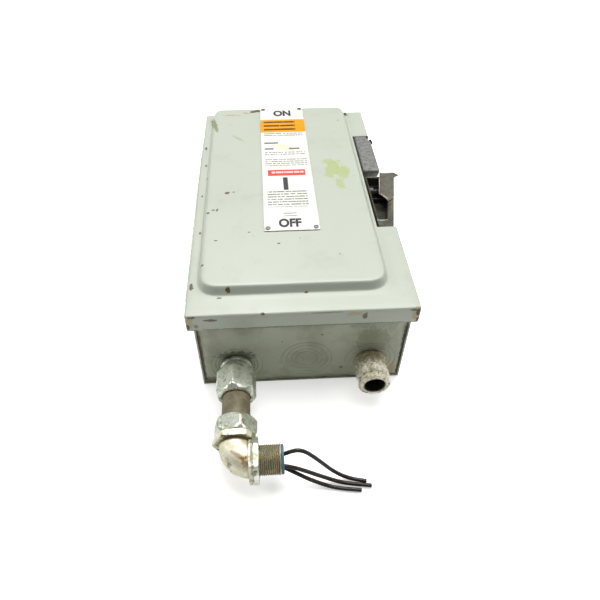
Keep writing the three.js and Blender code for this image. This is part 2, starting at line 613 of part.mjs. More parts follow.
add('connector_nut', connectorNut(), zinc);
add('conduit_tube', conduitTube(), vinyl);
add('elbow_nut', elbowNut(), zinc);
add('elbow_body', elbowBody(), zinc);
add('elbow_locknut', elbowLocknut(), zinc);
add('throat_liner', throatLiner(), bluePlastic);
add('stub_connector', stubbyConnector(), castZinc);
add('stub_locknut', panelLocknut(grip.x, grip.z, 16.6, 11.4), zinc);
add('stub_nut', lobedNut(), castZinc);
for (const [name, route] of Object.entries(wireRoutes)) {
  add(name, bend(route, wireRadius, 8, 22), blackPvc);
}

export default assembly;
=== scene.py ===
import math
import bpy
import bmesh
import numpy as np
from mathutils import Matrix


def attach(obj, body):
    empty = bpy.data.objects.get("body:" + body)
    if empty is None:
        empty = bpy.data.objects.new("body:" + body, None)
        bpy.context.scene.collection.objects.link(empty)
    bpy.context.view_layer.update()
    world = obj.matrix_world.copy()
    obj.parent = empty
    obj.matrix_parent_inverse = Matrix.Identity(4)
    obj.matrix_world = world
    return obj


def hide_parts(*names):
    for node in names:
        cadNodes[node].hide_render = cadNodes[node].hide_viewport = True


# Fused disconnect switch on its back. Shapes are worked out in millimetres and put into the meshes in metres:
# +Z out of the front cover, +Y to the top end, +X to the handle side.
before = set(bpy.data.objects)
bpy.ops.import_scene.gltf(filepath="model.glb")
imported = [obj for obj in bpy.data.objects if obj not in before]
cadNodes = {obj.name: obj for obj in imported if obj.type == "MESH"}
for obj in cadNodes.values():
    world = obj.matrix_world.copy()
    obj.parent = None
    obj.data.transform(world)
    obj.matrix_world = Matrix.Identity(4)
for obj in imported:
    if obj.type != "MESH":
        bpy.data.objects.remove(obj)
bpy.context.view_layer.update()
mm = 0.001
print("frame loaded:", len(cadNodes), "nodes")

# camera
view = dict(place=(-0.0311, -0.5081, 0.4525), turn=(43.7, 0.0, -3.06), lens=31.63, shift=(0.0193, 0.0067))
cameraData = bpy.data.cameras.new("camera")
camera = bpy.data.objects.new("camera", cameraData)
bpy.context.scene.collection.objects.link(camera)
camera.location = view["place"]
camera.rotation_euler = [math.radians(angle) for angle in view["turn"]]
cameraData.sensor_width = 36
cameraData.lens = view["lens"]
cameraData.shift_x, cameraData.shift_y = view["shift"]
cameraData.clip_start = 0.01
bpy.context.scene.camera = camera


# surfaces
def unitRows(vectors):
    return vectors / np.maximum(np.linalg.norm(vectors, axis=-1, keepdims=True), 1e-9)


def roundOff(corners, radii, steps=6):
    # each corner of a closed outline becomes a quadratic curve that leaves one side and meets the next at the
    # radius from the corner: (1-t)^2 start + 2t(1-t) corner + t^2 end
    corners = np.asarray(corners, float)
    reach = np.broadcast_to(np.asarray(radii, float), len(corners))[:, None]
    start = corners + unitRows(np.roll(corners, 1, 0) - corners) * reach
    end = corners + unitRows(np.roll(corners, -1, 0) - corners) * reach
    t = np.linspace(0, 1, steps)[None, :, None]
    curve = (1 - t) ** 2 * start[:, None] + 2 * t * (1 - t) * corners[:, None] + t ** 2 * end[:, None]
    return curve.reshape(-1, corners.shape[1])


def inset(corners, distance):
    # corners of a counter-clockwise outline moved inward by the distance: the sum of both side normals over
    # one plus their dot product
    corners = np.asarray(corners, float)
    sides = unitRows(np.roll(corners, -1, 0) - corners)
    normals = np.stack([-sides[:, 1], sides[:, 0]], 1)
    before = np.roll(normals, 1, 0)
    return corners + distance * (before + normals) / (1 + (before * normals).sum(1, keepdims=True))


def atIndex(rows, where):
    # straight-line values of a closed list at fractional places
    low = np.floor(where).astype(int)
    part = (where - low)[:, None]
    return rows[low % len(rows)] * (1 - part) + rows[(low + 1) % len(rows)] * part


def atHeight(outline, z):
    return np.column_stack([outline, np.full(len(outline), float(z))])


def wobble(points, amplitude, size, seed, waves=9):
    # a soft random surface: the mean of plane sine waves in seeded directions, about one wave per size
    chance = np.random.default_rng(seed)
    directions = unitRows(chance.normal(size=(waves, 3))) * (2 * math.pi / size)
    directions *= chance.uniform(0.6, 1.7, (waves, 1))
    phases = chance.uniform(0, 2 * math.pi, waves)
    return amplitude * np.sin(points @ directions.T + phases).mean(-1) * 2.2


def gridFaces(rows, cols, closeRows):
    # quads between neighbouring rows and columns of a grid whose last column meets its first
    index = np.arange(rows * cols).reshape(rows, cols)
    if closeRows:
        index = np.vstack([index, index[:1]])
    index = np.hstack([index, index[:, :1]])
    quads = [index[:-1, :-1], index[:-1, 1:], index[1:, 1:], index[1:, :-1]]
    return np.stack(quads, -1).reshape(-1, 4).tolist()


def sleeve(rings, capStart=True, capEnd=True, closeRows=False):
    # rings of equal count joined by quads, with flat ends where they are asked for
    rings = np.asarray(rings, float)
    rows, cols = rings.shape[:2]
    faces = gridFaces(rows, cols, closeRows)
    if capStart and not closeRows:
        faces.append(list(range(cols))[::-1])
    if capEnd and not closeRows:
        faces.append(list(range((rows - 1) * cols, rows * cols)))
    return rings.reshape(-1, 3), faces


def turnedBody(profile, axis, centre, columns, shape=None):
    # radius and height of a closed profile carried round an axis: centre + radius (cos, sin), height along it;
    # shape changes the radius from radius, height and angle
    profile = np.asarray(profile, float)
    angle = np.linspace(0, 2 * math.pi, columns, endpoint=False)[None, :]
    radius = np.repeat(profile[:, :1], columns, 1)
    height = np.repeat(profile[:, 1:2], columns, 1)
    if shape is not None:
        radius = shape(radius, height, angle + 0 * radius)
    p, q = centre[0] + radius * np.cos(angle), centre[1] + radius * np.sin(angle)
    order = {"x": [height, p, q], "y": [p, height, q], "z": [p, q, height]}[axis]
    return sleeve(np.stack(order, -1), closeRows=True)


def slab(corners, radii, low, high, edge):
    # an outline given thickness, its upper and lower edges rounded by quarter circles
    arc = np.linspace(0, math.pi / 2, 4)
    levels = [(edge * (1 - math.sin(a)), low + edge * (1 - math.cos(a))) for a in arc]
    levels += [(edge * (1 - math.cos(a)), high - edge * (1 - math.sin(a))) for a in arc]
    rings = [atHeight(roundOff(inset(corners, d), radii), z) for d, z in levels]
    return sleeve(rings)


def hexRadius(across, turn, corner=0.985):
    # distance to the side of a six-sided prism at an angle, cut short just before its corners
    apothem = across * math.cos(math.pi / 6)

    def limit(radius, height, angle):
        fold = (angle - turn) % (math.pi / 3) - math.pi / 6
        return np.minimum(radius, np.minimum(apothem / np.cos(fold), across * corner))
    return limit


def thread(low, high, pitch, depth):
    # a triangular wave of height over pitch less angle over one turn, added between low and high
    def cut(radius, height, angle):
        phase = (height / pitch - angle / (2 * math.pi)) % 1
        inside = (height > low) & (height < high) & (radius > radius.max(0) - 4)
        return radius - depth * (1 - np.abs(2 * phase - 1)) * inside
    return cut


def alongHeight(radius, low, high, count):
    return [(radius, y) for y in np.linspace(low, high, count)]


def putTogether(name, parts, material, body, stands=(), sharp=32, wall=0.0, facing=None):
    # one mesh from one or more surfaces in millimetres, merged, with its faces outwards
    vertices, faces = [], []
    for points, quads in parts:
        start = sum(len(v) for v in vertices)
        vertices.append(np.asarray(points, float).reshape(-1, 3))
        faces += [[start + i for i in quad] for quad in quads]
    mesh = bpy.data.meshes.new(name)
    mesh.from_pydata((np.vstack(vertices) * mm).tolist(), [], faces)
    work = bmesh.new()
    work.from_mesh(mesh)
    bmesh.ops.remove_doubles(work, verts=work.verts, dist=1e-6)
    bmesh.ops.recalc_face_normals(work, faces=work.faces)
    work.to_mesh(mesh)
    work.free()
    if facing is not None:
        normals = np.zeros(len(mesh.polygons) * 3)
        areas = np.zeros(len(mesh.polygons))
        mesh.polygons.foreach_get("normal", normals)
        mesh.polygons.foreach_get("area", areas)
        if (normals.reshape(-1, 3) * areas[:, None]).sum(0) @ np.array(facing) < 0:
            mesh.flip_normals()
    return place(name, mesh, material, body, stands, sharp, wall)


def turned(name, profile, axis, centre, columns, material, stands=(), shape=None, body="enclosure",
           sharp=32):
    # one turned body as a piece of its own
    parts = [turnedBody(profile, axis, centre, columns, shape)]
    return putTogether(name, parts, material, body, stands, sharp)


def place(name, mesh, material, body, stands=(), sharp=32, wall=0.0, bevel=0.0):
    mesh.polygons.foreach_set("use_smooth", np.ones(len(mesh.polygons), bool))
    mesh.set_sharp_from_angle(angle=math.radians(sharp))
    mesh.materials.clear()
    mesh.materials.append(material)
    piece = bpy.data.objects.new(name, mesh)
    bpy.context.scene.collection.objects.link(piece)
    if wall:
        solid = piece.modifiers.new("wall", "SOLIDIFY")
        solid.thickness = wall * mm
        solid.offset = -1
    if bevel:
        edges = piece.modifiers.new("edges", "BEVEL")
        edges.width = bevel * mm
        edges.segments = 2
        edges.limit_method = "ANGLE"
        edges.angle_limit = math.radians(38)
        edges.harden_normals = True
    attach(piece, body)
    if stands:
        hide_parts(*stands)
    return piece


def eased(node, material, body, bevel):
    # a merged copy of a CAD node with its flat faces rejoined and its edges eased
    mesh = cadNodes[node].data.copy()
    work = bmesh.new()
    work.from_mesh(mesh)
    bmesh.ops.remove_doubles(work, verts=work.verts, dist=2e-6)
    bmesh.ops.dissolve_limit(work, angle_limit=math.radians(0.6), verts=work.verts, edges=work.edges)
    work.to_mesh(mesh)
    work.free()
    return place(node + "_eased", mesh, material, body, (node,), 34, 0.0, bevel)


# wires, laid before anything else
wireSet = dict(radius=1.8, routes={
    "wire_rear": [(-37, -287.7, 31), (-30, -287.7, 32.7), (-24, -287.8, 34.5), (-17, -287.3, 37.6),
                  (-11, -287.2, 38.9), (-5, -287.8, 36.8), (1, -289, 31.6), (6.5, -290.3, 25.9),
                  (12.5, -291.8, 19.2), (18.5, -293.3, 12.7), (25, -295, 7.6), (31.5, -296.4, 3.8),
                  (38, -297.9, 2.1), (44, -299.3, 1.9), (50, -300.6, 1.9)],
    "wire_middle": [(-37, -293.6, 29.9), (-30, -294.6, 29.1), (-24, -295.2, 27.9), (-15, -296, 25.2),
                    (-5, -296.8, 19.6), (5, -297.7, 13.3), (14, -298.8, 8.3), (22, -300.2, 4.9),
                    (30, -301.4, 2.6), (38, -302.6, 1.9), (46, -303.8, 1.9), (54, -305, 1.9)],
    "wire_front": [(-37, -292.6, 24.9), (-30, -293.6, 24.3), (-24, -294.4, 23.5), (-14, -297.3, 18.5),
                   (-4, -299.7, 12.1), (4, -301.2, 7.4), (12, -302.8, 3.7), (20, -304.7, 2),
                   (28, -306.4, 1.9), (36, -307.6, 1.9), (44.5, -308.7, 1.9)],
})


def smoothRun(points, steps):
    # cubic through each point, with the direction from its last neighbour to its next
    p = np.asarray(points, float)
    slope = np.gradient(p, axis=0)
    t = np.linspace(0, 1, steps, endpoint=False)[None, :, None]
    a, b, m, n = p[:-1, None], p[1:, None], slope[:-1, None], slope[1:, None]
    curve = ((2 * t ** 3 - 3 * t ** 2 + 1) * a + (t ** 3 - 2 * t ** 2 + t) * m
             + (3 * t ** 2 - 2 * t ** 3) * b + (t ** 3 - t ** 2) * n).reshape(-1, 3)
    return np.vstack([curve, p[-1:]])


def roundRun(path, radius, sides=20):
    # a circle carried along a path, square to it, with eased ends: path + radius (side cos + up sin)
    ahead = unitRows(np.gradient(path, axis=0))
    side = unitRows(np.cross(ahead, [0.0, 0.35, 1.0]))
    up = np.cross(side, ahead)
    angle = np.linspace(0, 2 * math.pi, sides, endpoint=False)[None, :, None]
    thick = np.full(len(path), radius)
    thick[0], thick[-1] = radius * 0.86, radius * 0.86
    return path[:, None] + thick[:, None, None] * (side[:, None] * np.cos(angle) + up[:, None] * np.sin(angle))


wires = {}
for name, route in wireSet["routes"].items():
    path = smoothRun(route, 7)
    tip = unitRows(path[-1] - path[-2])
    path = np.vstack([path[:-1], path[-1:] - 0.3 * tip, path[-1:]])
    rings, faces = sleeve(roundRun(path, wireSet["radius"]))
    wireMesh = bpy.data.meshes.new(name + "_run")
    wireMesh.from_pydata((rings * mm).tolist(), [], faces)
    wireMesh.polygons.foreach_set("use_smooth", np.ones(len(wireMesh.polygons), bool))
    wireMesh.set_sharp_from_angle(angle=math.radians(50))
    wires[name] = bpy.data.objects.new(name + "_run", wireMesh)
    bpy.context.scene.collection.objects.link(wires[name])
    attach(wires[name], "enclosure")
    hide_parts(name)
print("wires laid")


# shader building
def tone(red, green, blue):
    # a screen colour as the renderer's straight light values
    part = np.array([red, green, blue]) / 255
    light = np.where(part <= 0.04045, part / 12.92, ((part + 0.055) / 1.055) ** 2.4)
    return (*[float(v) for v in light], 1.0)


def put(tree, kind, values=(), **settings):
    node = tree.nodes.new("ShaderNode" + kind)
    for key, value in settings.items():
        setattr(node, key, value)
    for key, value in dict(values).items():
        socket = node.inputs[key]
        if isinstance(value, bpy.types.NodeSocket):
            tree.links.new(value, socket)
        else:
            socket.default_value = value
    return node


def maths(tree, operation, *values):
    return put(tree, "Math", enumerate(values), operation=operation).outputs[0]


def noiseAt(tree, vector, scale, detail, roughness=0.5):
    values = {"Vector": vector, "Scale": scale, "Detail": detail, "Roughness": roughness}
    return put(tree, "TexNoise", values).outputs[0]


def blend(tree, factor, first, second):
    return put(tree, "Mix", {0: factor, 6: first, 7: second}, data_type="RGBA").outputs[2]


def ramped(tree, value, low, high, start=0.0, end=1.0):
    return put(tree, "MapRange", {0: value, 1: low, 2: high, 3: start, 4: end},
               interpolation_type="SMOOTHSTEP").outputs[0]


def newGroup(name, inputs, outputs):
    tree = bpy.data.node_groups.new(name, "ShaderNodeTree")
    for label, value in inputs.items():
        vector = isinstance(value, tuple)
        socket = tree.interface.new_socket(
            name=label, in_out="INPUT", socket_type="NodeSocketVector" if vector else "NodeSocketFloat")
        socket.default_value = value
    for label in outputs:
        tree.interface.new_socket(name=label, in_out="OUTPUT", socket_type="NodeSocketFloat")
    return tree, tree.nodes.new("NodeGroupInput").outputs, tree.nodes.new("NodeGroupOutput").inputs


def use(tree, group, **values):
    node = tree.nodes.new("ShaderNodeGroup")
    node.node_tree = group
    for key, value in values.items():
        if isinstance(value, bpy.types.NodeSocket):
            tree.links.new(value, node.inputs[key])
        else:
            node.inputs[key].default_value = value
    return node.outputs


# stain: noise above an edge value, softened by a width
stain, given, wanted = newGroup("stain", {"Vector": (0.0, 0.0, 0.0), "Scale": 40.0, "Edge": 0.6, "Width": 0.05},
                                ["Mask"])
noise = noiseAt(stain, given["Vector"], given["Scale"], 5.0, 0.6)
low = maths(stain, "SUBTRACT", given["Edge"], given["Width"])
high = maths(stain, "ADD", given["Edge"], given["Width"])
stain.links.new(ramped(stain, noise, low, high), wanted["Mask"])

# blot: one ragged mark round a centre, longer one way than the other, turned about the height axis
blot, given, wanted = newGroup("blot", {"Vector": (0.0, 0.0, 0.0), "Centre": (0.0, 0.0, 0.0), "Turn": 0.0,
                                        "Size": (0.01, 0.01, 0.01), "Ragged": 0.4}, ["Mask"])
away = put(blot, "VectorMath", {0: given["Vector"], 1: given["Centre"]}, operation="SUBTRACT").outputs[0]
turnedWay = put(blot, "VectorRotate", {"Vector": away, "Angle": given["Turn"]},
                rotation_type="Z_AXIS").outputs[0]
scaled = put(blot, "VectorMath", {0: turnedWay, 1: given["Size"]}, operation="DIVIDE").outputs[0]
span = put(blot, "VectorMath", {0: scaled}, operation="LENGTH").outputs["Value"]
noise = noiseAt(blot, given["Vector"], 260.0, 4.0, 0.7)
ragged = maths(blot, "MULTIPLY", given["Ragged"], 3.0)
jag = maths(blot, "MULTIPLY", maths(blot, "SUBTRACT", noise, 0.5), ragged)
blot.links.new(ramped(blot, maths(blot, "ADD", span, jag), 1.08, 0.88), wanted["Mask"])

# the edge group: where a rounded normal leaves the true normal, broken up by noise; it gives worn edges on paint,
# plastic and print, and painted highlights on metal edges
edgeWearAndHighlight, given, wanted = newGroup("edgeWearAndHighlight", {"Vector": (0.0, 0.0, 0.0), "Radius": 0.0008, "Scale": 120.0,
                                                "Amount": 0.5}, ["Mask"])
flat = put(edgeWearAndHighlight, "NewGeometry").outputs["Normal"]
soft = put(edgeWearAndHighlight, "Bevel", {"Radius": given["Radius"]}, samples=4).outputs[0]
match = put(edgeWearAndHighlight, "VectorMath", {0: flat, 1: soft}, operation="DOT_PRODUCT").outputs["Value"]
bare = ramped(edgeWearAndHighlight, match, 0.995, 0.86)
noise = noiseAt(edgeWearAndHighlight, given["Vector"], given["Scale"], 5.0)
edge = maths(edgeWearAndHighlight, "SUBTRACT", 1.0, given["Amount"])
broken = ramped(edgeWearAndHighlight, noise, edge, maths(edgeWearAndHighlight, "ADD", edge, 0.12))
edgeWearAndHighlight.links.new(maths(edgeWearAndHighlight, "MULTIPLY", bare, broken), wanted["Mask"])

# the crease group: dark where the surface is hemmed in, so it paints shade into creases and corners together with
# grime there
creaseShadeAndDirt, given, wanted = newGroup("creaseShadeAndDirt", {"Reach": 0.006, "Amount": 0.7}, ["Mask"])
openness = put(creaseShadeAndDirt, "AmbientOcclusion", {"Distance": given["Reach"]}, samples=6, only_local=True)
hidden = ramped(creaseShadeAndDirt, openness.outputs["AO"], 0.9, 0.25)
creaseShadeAndDirt.links.new(maths(creaseShadeAndDirt, "MULTIPLY", hidden, given["Amount"]), wanted["Mask"])

# grain: fine relief, stretched along an axis by its scale vector
grain, given, wanted = newGroup("grain", {"Vector": (0.0, 0.0, 0.0), "Stretch": (1.0, 1.0, 1.0), "Scale": 600.0,
                                          "Pits": 0.3}, ["Height"])
stretched = put(grain, "VectorMath", {0: given["Vector"], 1: given["Stretch"]},
                operation="MULTIPLY").outputs[0]
noise = noiseAt(grain, stretched, given["Scale"], 3.0)
cells = put(grain, "TexVoronoi", {"Vector": stretched, "Scale": given["Scale"]})
pitted = maths(grain, "MULTIPLY", ramped(grain, cells.outputs["Distance"], 0.0, 0.35), given["Pits"])
grain.links.new(maths(grain, "ADD", noise, pitted), wanted["Height"])


def startMaterial(name):
    material = bpy.data.materials.new(name)
    material.use_nodes = True
    tree = material.node_tree
    tree.nodes.clear()
    shader = put(tree, "BsdfPrincipled")
    out = put(tree, "OutputMaterial")
    tree.links.new(shader.outputs[0], out.inputs[0])
    return material, tree, shader, put(tree, "TexCoord").outputs["Object"]


def joinShader(tree, shader, colour, rough, height, strength, depth, shine=None):
    # colour, roughness, relief and shine into the material's own shader
    bump = put(tree, "Bump", {"Height": height, "Strength": strength, "Distance": depth}).outputs[0]
    sockets = {"Base Color": colour, "Roughness": rough, "Normal": bump, "Metallic": shine}
    for label, socket in sockets.items():
        if socket is not None:
            tree.links.new(socket, shader.inputs[label])


def inLight(look):
    # a look with its screen colours made into straight light values
    inks = ("colour", "second", "tarnish", "rust", "rustLight", "grime", "dirt", "edge", "dust")
    return {key: tone(*value) if key in inks else value for key, value in look.items()}


def tint(tree, colour, mask, strength, ink):
    return blend(tree, maths(tree, "MULTIPLY", mask, strength), colour, ink)


def stainAt(tree, where, scale, edge, width):
    return use(tree, stain, Vector=where, Scale=scale, Edge=edge, Width=width)["Mask"]


def edgesAt(tree, where, radius, scale, amount):
    return use(tree, edgeWearAndHighlight, Vector=where, Radius=radius, Scale=scale, Amount=amount)["Mask"]


def grainAt(tree, where, scale, pits, stretch=(1.0, 1.0, 1.0)):
    return use(tree, grain, Vector=where, Scale=scale, Stretch=stretch, Pits=pits)["Height"]


def marked(tree, where, colour, marks, ragged):
    # each mark: centre, half size, turn in degrees, ink, strength and, where it has one, its own raggedness
    for centre, size, turn, ink, strength, *own in marks:
        mark = use(tree, blot, Vector=where, Centre=tuple(v * mm for v in centre),
                   Size=tuple(v * mm for v in size), Turn=math.radians(-turn), Ragged=(own or [ragged])[0])
        colour = tint(tree, colour, mark["Mask"], strength, ink)
    return colour


brown, blackRust, yellowRust = tone(92, 74, 44), tone(40, 34, 28), tone(172, 146, 66)
residue, olive, orange = tone(172, 184, 128), tone(128, 128, 78), tone(196, 128, 60)

# stains and long scrapes on the cover's top: x, y, half length, half width, turn, ink, strength
scrapes = [
    (50, 33, 10, 20, -12, residue, 0.85), (60, 24, 8, 15, 0, residue, 0.8), (55, 1, 5, 11, 12, residue, 0.8),
    (47, 48, 8, 6, 20, residue, 0.75), (66, 28, 4, 10, 0, residue, 0.6), (-94, 150, 3, 24, 12, olive, 0.8),
    (-40, 180, 8, 3.2, 18, brown, 0.95), (-52, 176, 6, 1.2, -15, brown, 0.6),
    (-72, 171.3, 12, 1.2, -3, orange, 0.8), (-63, 109.5, 12, 2.2, -44, olive, 0.3),
    (82, 183, 4.5, 7, 25, blackRust, 0.9)]
# small chips on the cover's top: x, y, half length, half width, turn
chips = [
    (-72.8, -11.3, 3.2, 2, 30), (-65.6, -9.7, 1.4, 1, 0), (-82.7, -42.3, 2.2, 1.4, 60), (-86.9, -42.1, 1.6, 1.1, 0),
    (-92, -47.1, 1.8, 1.2, 0), (-81.9, -93.3, 2, 1.4, 0), (-102, -3.9, 2.2, 1.2, 80), (-93.5, -129.5, 2, 1.4, 0),
    (-68.3, -160.8, 2.2, 1.3, 0), (-76.4, -166.4, 2.4, 1.3, 0), (-48.5, -81.6, 1.4, 1, 0),
    (-18.7, -100.7, 1.5, 1, 0), (-101, 60, 1.6, 3, 0), (-103, 100, 1.4, 3.6, 0), (-98, 30, 1.2, 1.8, 0),
    (-100, -70, 1.2, 2.2, 0), (-103.5, -150, 2, 5, 0), (4, -163.5, 2, 1, 0), (40, -120, 1.2, 0.8, 0),
    (70, 150, 1.2, 0.8, 0)]
# marks on the cover's front lip: x, z, half length, half height, ink, strength
lipMarks = [
    (-84.5, 99.5, 5.5, 1.8, brown, 0.85), (-36.7, 104.6, 2, 1, brown, 0.85), (47, 101, 8, 2.4, yellowRust, 0.45),
    (56, 98, 2.4, 4, brown, 0.85), (103.6, 97, 4, 9, yellowRust, 0.6), (105.2, 99, 2.4, 5, blackRust, 0.9),
    (105.8, 90, 1.8, 3, blackRust, 0.9), (100.5, 103, 4, 1.4, brown, 0.8), (-104, 96, 3.6, 8.5, yellowRust, 0.5),
    (-106, 91, 2.2, 4.5, blackRust, 0.85), (-101, 103.5, 3.6, 1.4, brown, 0.8), (-98, 92, 1.8, 2.4, brown, 0.6),
    (0, 87.2, 120, 0.9, brown, 0.6), (20, 103.9, 16, 0.9, brown, 0.4)]
# marks on the bottom end wall: x, z, half length, half depth, half height, ink, strength
endMarks = [
    (-98.5, 50, 1.6, 6, 52, brown, 0.85), (98.6, 50, 1.6, 6, 52, blackRust, 0.85),
    # the next two are dark patches on the wall above the fittings: painted shadow of the fittings
    (-65.5, 42, 19, 3, 8, tone(58, 56, 44), 0.6), (68.3, 58, 17, 3, 20, tone(92, 96, 68), 0.4),
    (-90, 6, 10, 3, 4, brown, 0.5), (92, 12, 4, 3, 9, yellowRust, 0.45), (-30, 96, 70, 3, 2, blackRust, 0.45),
    (40, 18, 2, 3, 2, brown, 0.6), (18, 70, 1.6, 3, 1.2, brown, 0.7), (-20, 62, 1.2, 3, 1, brown, 0.6)]
coverMarks = [((x, y, 110), (a, b, 12), turn, ink, strength) for x, y, a, b, turn, ink, strength in scrapes]
coverMarks += [((x, y, 110), (a, b, 12), turn, brown, 0.95) for x, y, a, b, turn in chips]
coverMarks += [((x, -188, z), (a, 4, c), 0, ink, strength) for x, z, a, c, ink, strength in lipMarks]
wallMarks = [((x, -185.2, z), (a, b, c), 0, ink, strength) for x, z, a, b, c, ink, strength in endMarks]

paintLook = dict(colour=(191, 197, 184), second=(183, 190, 175), broad=6.0, grime=(120, 118, 88),
                 grimeScale=26.0, grimeEdge=0.63, grimeAmount=0.1, speckScale=210.0, speckEdge=0.73, marks=(),
                 edgeRadius=0.0012, edgeAmount=0.44, rust=(56, 42, 28), rustLight=(136, 100, 52), rustScale=320.0,
                 dirtReach=0.006, dirtAmount=0.35, roughness=(0.26, 0.4), peelScale=700.0, peel=0.16, relief=0.35, depth=0.0003)


def sheetPaint(name, **changes):
    # painted sheet steel: uneven colour, marks at set places, chips, rust on edges, grime and painted shade in
    # corners
    look = inLight({**paintLook, **changes})
    material, tree, shader, where = startMaterial(name)
    broad = noiseAt(tree, where, look["broad"], 4.0)
    colour = blend(tree, ramped(tree, broad, 0.3, 0.75), look["colour"], look["second"])
    grime = stainAt(tree, where, look["grimeScale"], look["grimeEdge"], 0.1)
    colour = tint(tree, colour, grime, look["grimeAmount"], look["grime"])
    specks = stainAt(tree, where, look["speckScale"], look["speckEdge"], 0.012)
    colour = marked(tree, where, colour, look["marks"], 0.75)
    edges = edgesAt(tree, where, look["edgeRadius"], 130.0, look["edgeAmount"])
    worn = maths(tree, "MAXIMUM", maths(tree, "MULTIPLY", specks, 0.85), edges)
    rustPart = ramped(tree, noiseAt(tree, where, look["rustScale"], 3.0), 0.35, 0.65)
    colour = blend(tree, worn, colour, blend(tree, rustPart, look["rust"], look["rustLight"]))
    # the grime colour laid in where the surface is hemmed in: painted shade in corners and creases, together with
    # grime
    dirt = use(tree, creaseShadeAndDirt, Reach=look["dirtReach"], Amount=look["dirtAmount"])["Mask"]
    colour = blend(tree, dirt, colour, look["grime"])
    peel = grainAt(tree, where, look["peelScale"], 0.0)
    height = maths(tree, "SUBTRACT", maths(tree, "MULTIPLY", peel, look["peel"]), worn)
    rough = maths(tree, "ADD", ramped(tree, broad, 0.2, 0.8, *look["roughness"]),
                  maths(tree, "MULTIPLY", worn, 0.3))
    joinShader(tree, shader, colour, rough, height, look["relief"], look["depth"])
    return material


# the edge colour and edge amount give painted highlights on sharp edges; the crease colour, reach and amount give
# painted shade in creases together with grime
metalLook = dict(colour=(240, 243, 231), second=(166, 178, 152), broad=110.0, tarnish=(140, 142, 104),
                 tarnishScale=90.0, tarnishEdge=0.62, rust=(128, 92, 52), rustScale=110.0, rustEdge=0.67,
                 dirt=(74, 60, 40), dirtReach=0.003, dirtAmount=0.75, edge=(252, 254, 248), edgeAmount=0.85,
                 grainScale=420.0, stretch=(1.0, 1.0, 1.0), pits=0.3, relief=0.25, depth=0.0004, marks=(),
                 roughness=(0.24, 0.42), metallic=0.82)


def metal(name, **changes):
    # plated or cast metal: two tones of finish, tarnish, rust, grime and painted shade in creases, painted
    # highlights on edges, marks, grain
    look = inLight({**metalLook, **changes})
    material, tree, shader, where = startMaterial(name)
    broad = noiseAt(tree, where, look["broad"], 5.0, 0.6)
    colour = blend(tree, ramped(tree, broad, 0.35, 0.7), look["colour"], look["second"])
    masks = {}
    for kind, width in (("tarnish", 0.07), ("rust", 0.04)):
        masks[kind] = stainAt(tree, where, look[kind + "Scale"], look[kind + "Edge"], width)
        colour = blend(tree, masks[kind], colour, look[kind])
    # the crease colour laid in where the surface is hemmed in: painted shade in creases, together with grime
    dirt = use(tree, creaseShadeAndDirt, Reach=look["dirtReach"], Amount=look["dirtAmount"])["Mask"]
    colour = blend(tree, dirt, colour, look["dirt"])
    # a near-white tint on sharp edges: painted highlights
    edgeHighlight = edgesAt(tree, where, 0.0005, 200.0, look["edgeAmount"])
    colour = tint(tree, colour, edgeHighlight, 0.8, look["edge"])
    colour = marked(tree, where, colour, look["marks"], 0.45)
    spoiled = maths(tree, "MAXIMUM", maths(tree, "MAXIMUM", masks["rust"], dirt),
                    maths(tree, "MULTIPLY", masks["tarnish"], 0.4))
    height = grainAt(tree, where, look["grainScale"], look["pits"], look["stretch"])
    rough = maths(tree, "ADD", ramped(tree, broad, 0.3, 0.7, *look["roughness"]),
                  maths(tree, "MULTIPLY", spoiled, 0.3))
    dulled = maths(tree, "MULTIPLY", spoiled, look["metallic"] * 0.85)
    shine = maths(tree, "SUBTRACT", look["metallic"], dulled)
    joinShader(tree, shader, colour, rough, height, look["relief"], look["depth"], shine)
    return material


mouldLook = dict(dustEdge=0.6, dustAmount=0.4, scale=90.0, grainScale=500.0, stretch=(1.0, 1.0, 1.0), relief=0.2,
                 depth=0.0003, roughness=(0.45, 0.6))


def moulded(name, **changes):
    # plastic, fibre or rubber: mottled colour, dust, fine texture
    look = inLight({**mouldLook, **changes})
    material, tree, shader, where = startMaterial(name)
    mottle = noiseAt(tree, where, look["scale"], 5.0, 0.6)
    colour = blend(tree, ramped(tree, mottle, 0.35, 0.68), look["colour"], look["second"])
    dust = stainAt(tree, where, look["scale"] * 2.3, look["dustEdge"], 0.09)
    colour = tint(tree, colour, dust, look["dustAmount"], look["dust"])
    scuff = edgesAt(tree, where, 0.0005, 180.0, 0.5)
    colour = tint(tree, colour, scuff, 0.5, look["dust"])
    height = grainAt(tree, where, look["grainScale"], 0.2, look["stretch"])
    rough = ramped(tree, mottle, 0.3, 0.7, *look["roughness"])
    joinShader(tree, shader, colour, rough, height, look["relief"], look["depth"])
    return material


coverPaint = sheetPaint("cover_paint", marks=coverMarks)
wallPaint = sheetPaint("wall_paint", colour=(186, 191, 170), second=(172, 178, 154), marks=wallMarks,
                       grimeAmount=0.4, grimeEdge=0.56, dirtAmount=0.55, speckEdge=0.72, edgeAmount=0.36,
                       dirtReach=0.004)
boxPaint = sheetPaint("box_paint", colour=(188, 194, 176), second=(176, 182, 162), grimeAmount=0.35,
                      grimeEdge=0.58, edgeAmount=0.55)
zincPlate = metal("zinc_plate")
elbowZinc = metal(
    "elbow_zinc", colour=(240, 238, 216), second=(214, 208, 172), rustEdge=0.64, roughness=(0.4, 0.56),
    metallic=0.5, marks=[
        ((-61.5, -291.5, 36), (12, 2.4, 9), -36, tone(150, 112, 66), 0.5),
        ((-54, -298, 34), (9, 2.2, 9), -12, tone(140, 100, 56), 0.5),
        ((-66, -274.6, 44), (18, 1.3, 12), 0, tone(96, 70, 40), 0.75),
        ((-50.9, -289, 40), (1.0, 18, 16), 0, blackRust, 0.6)])
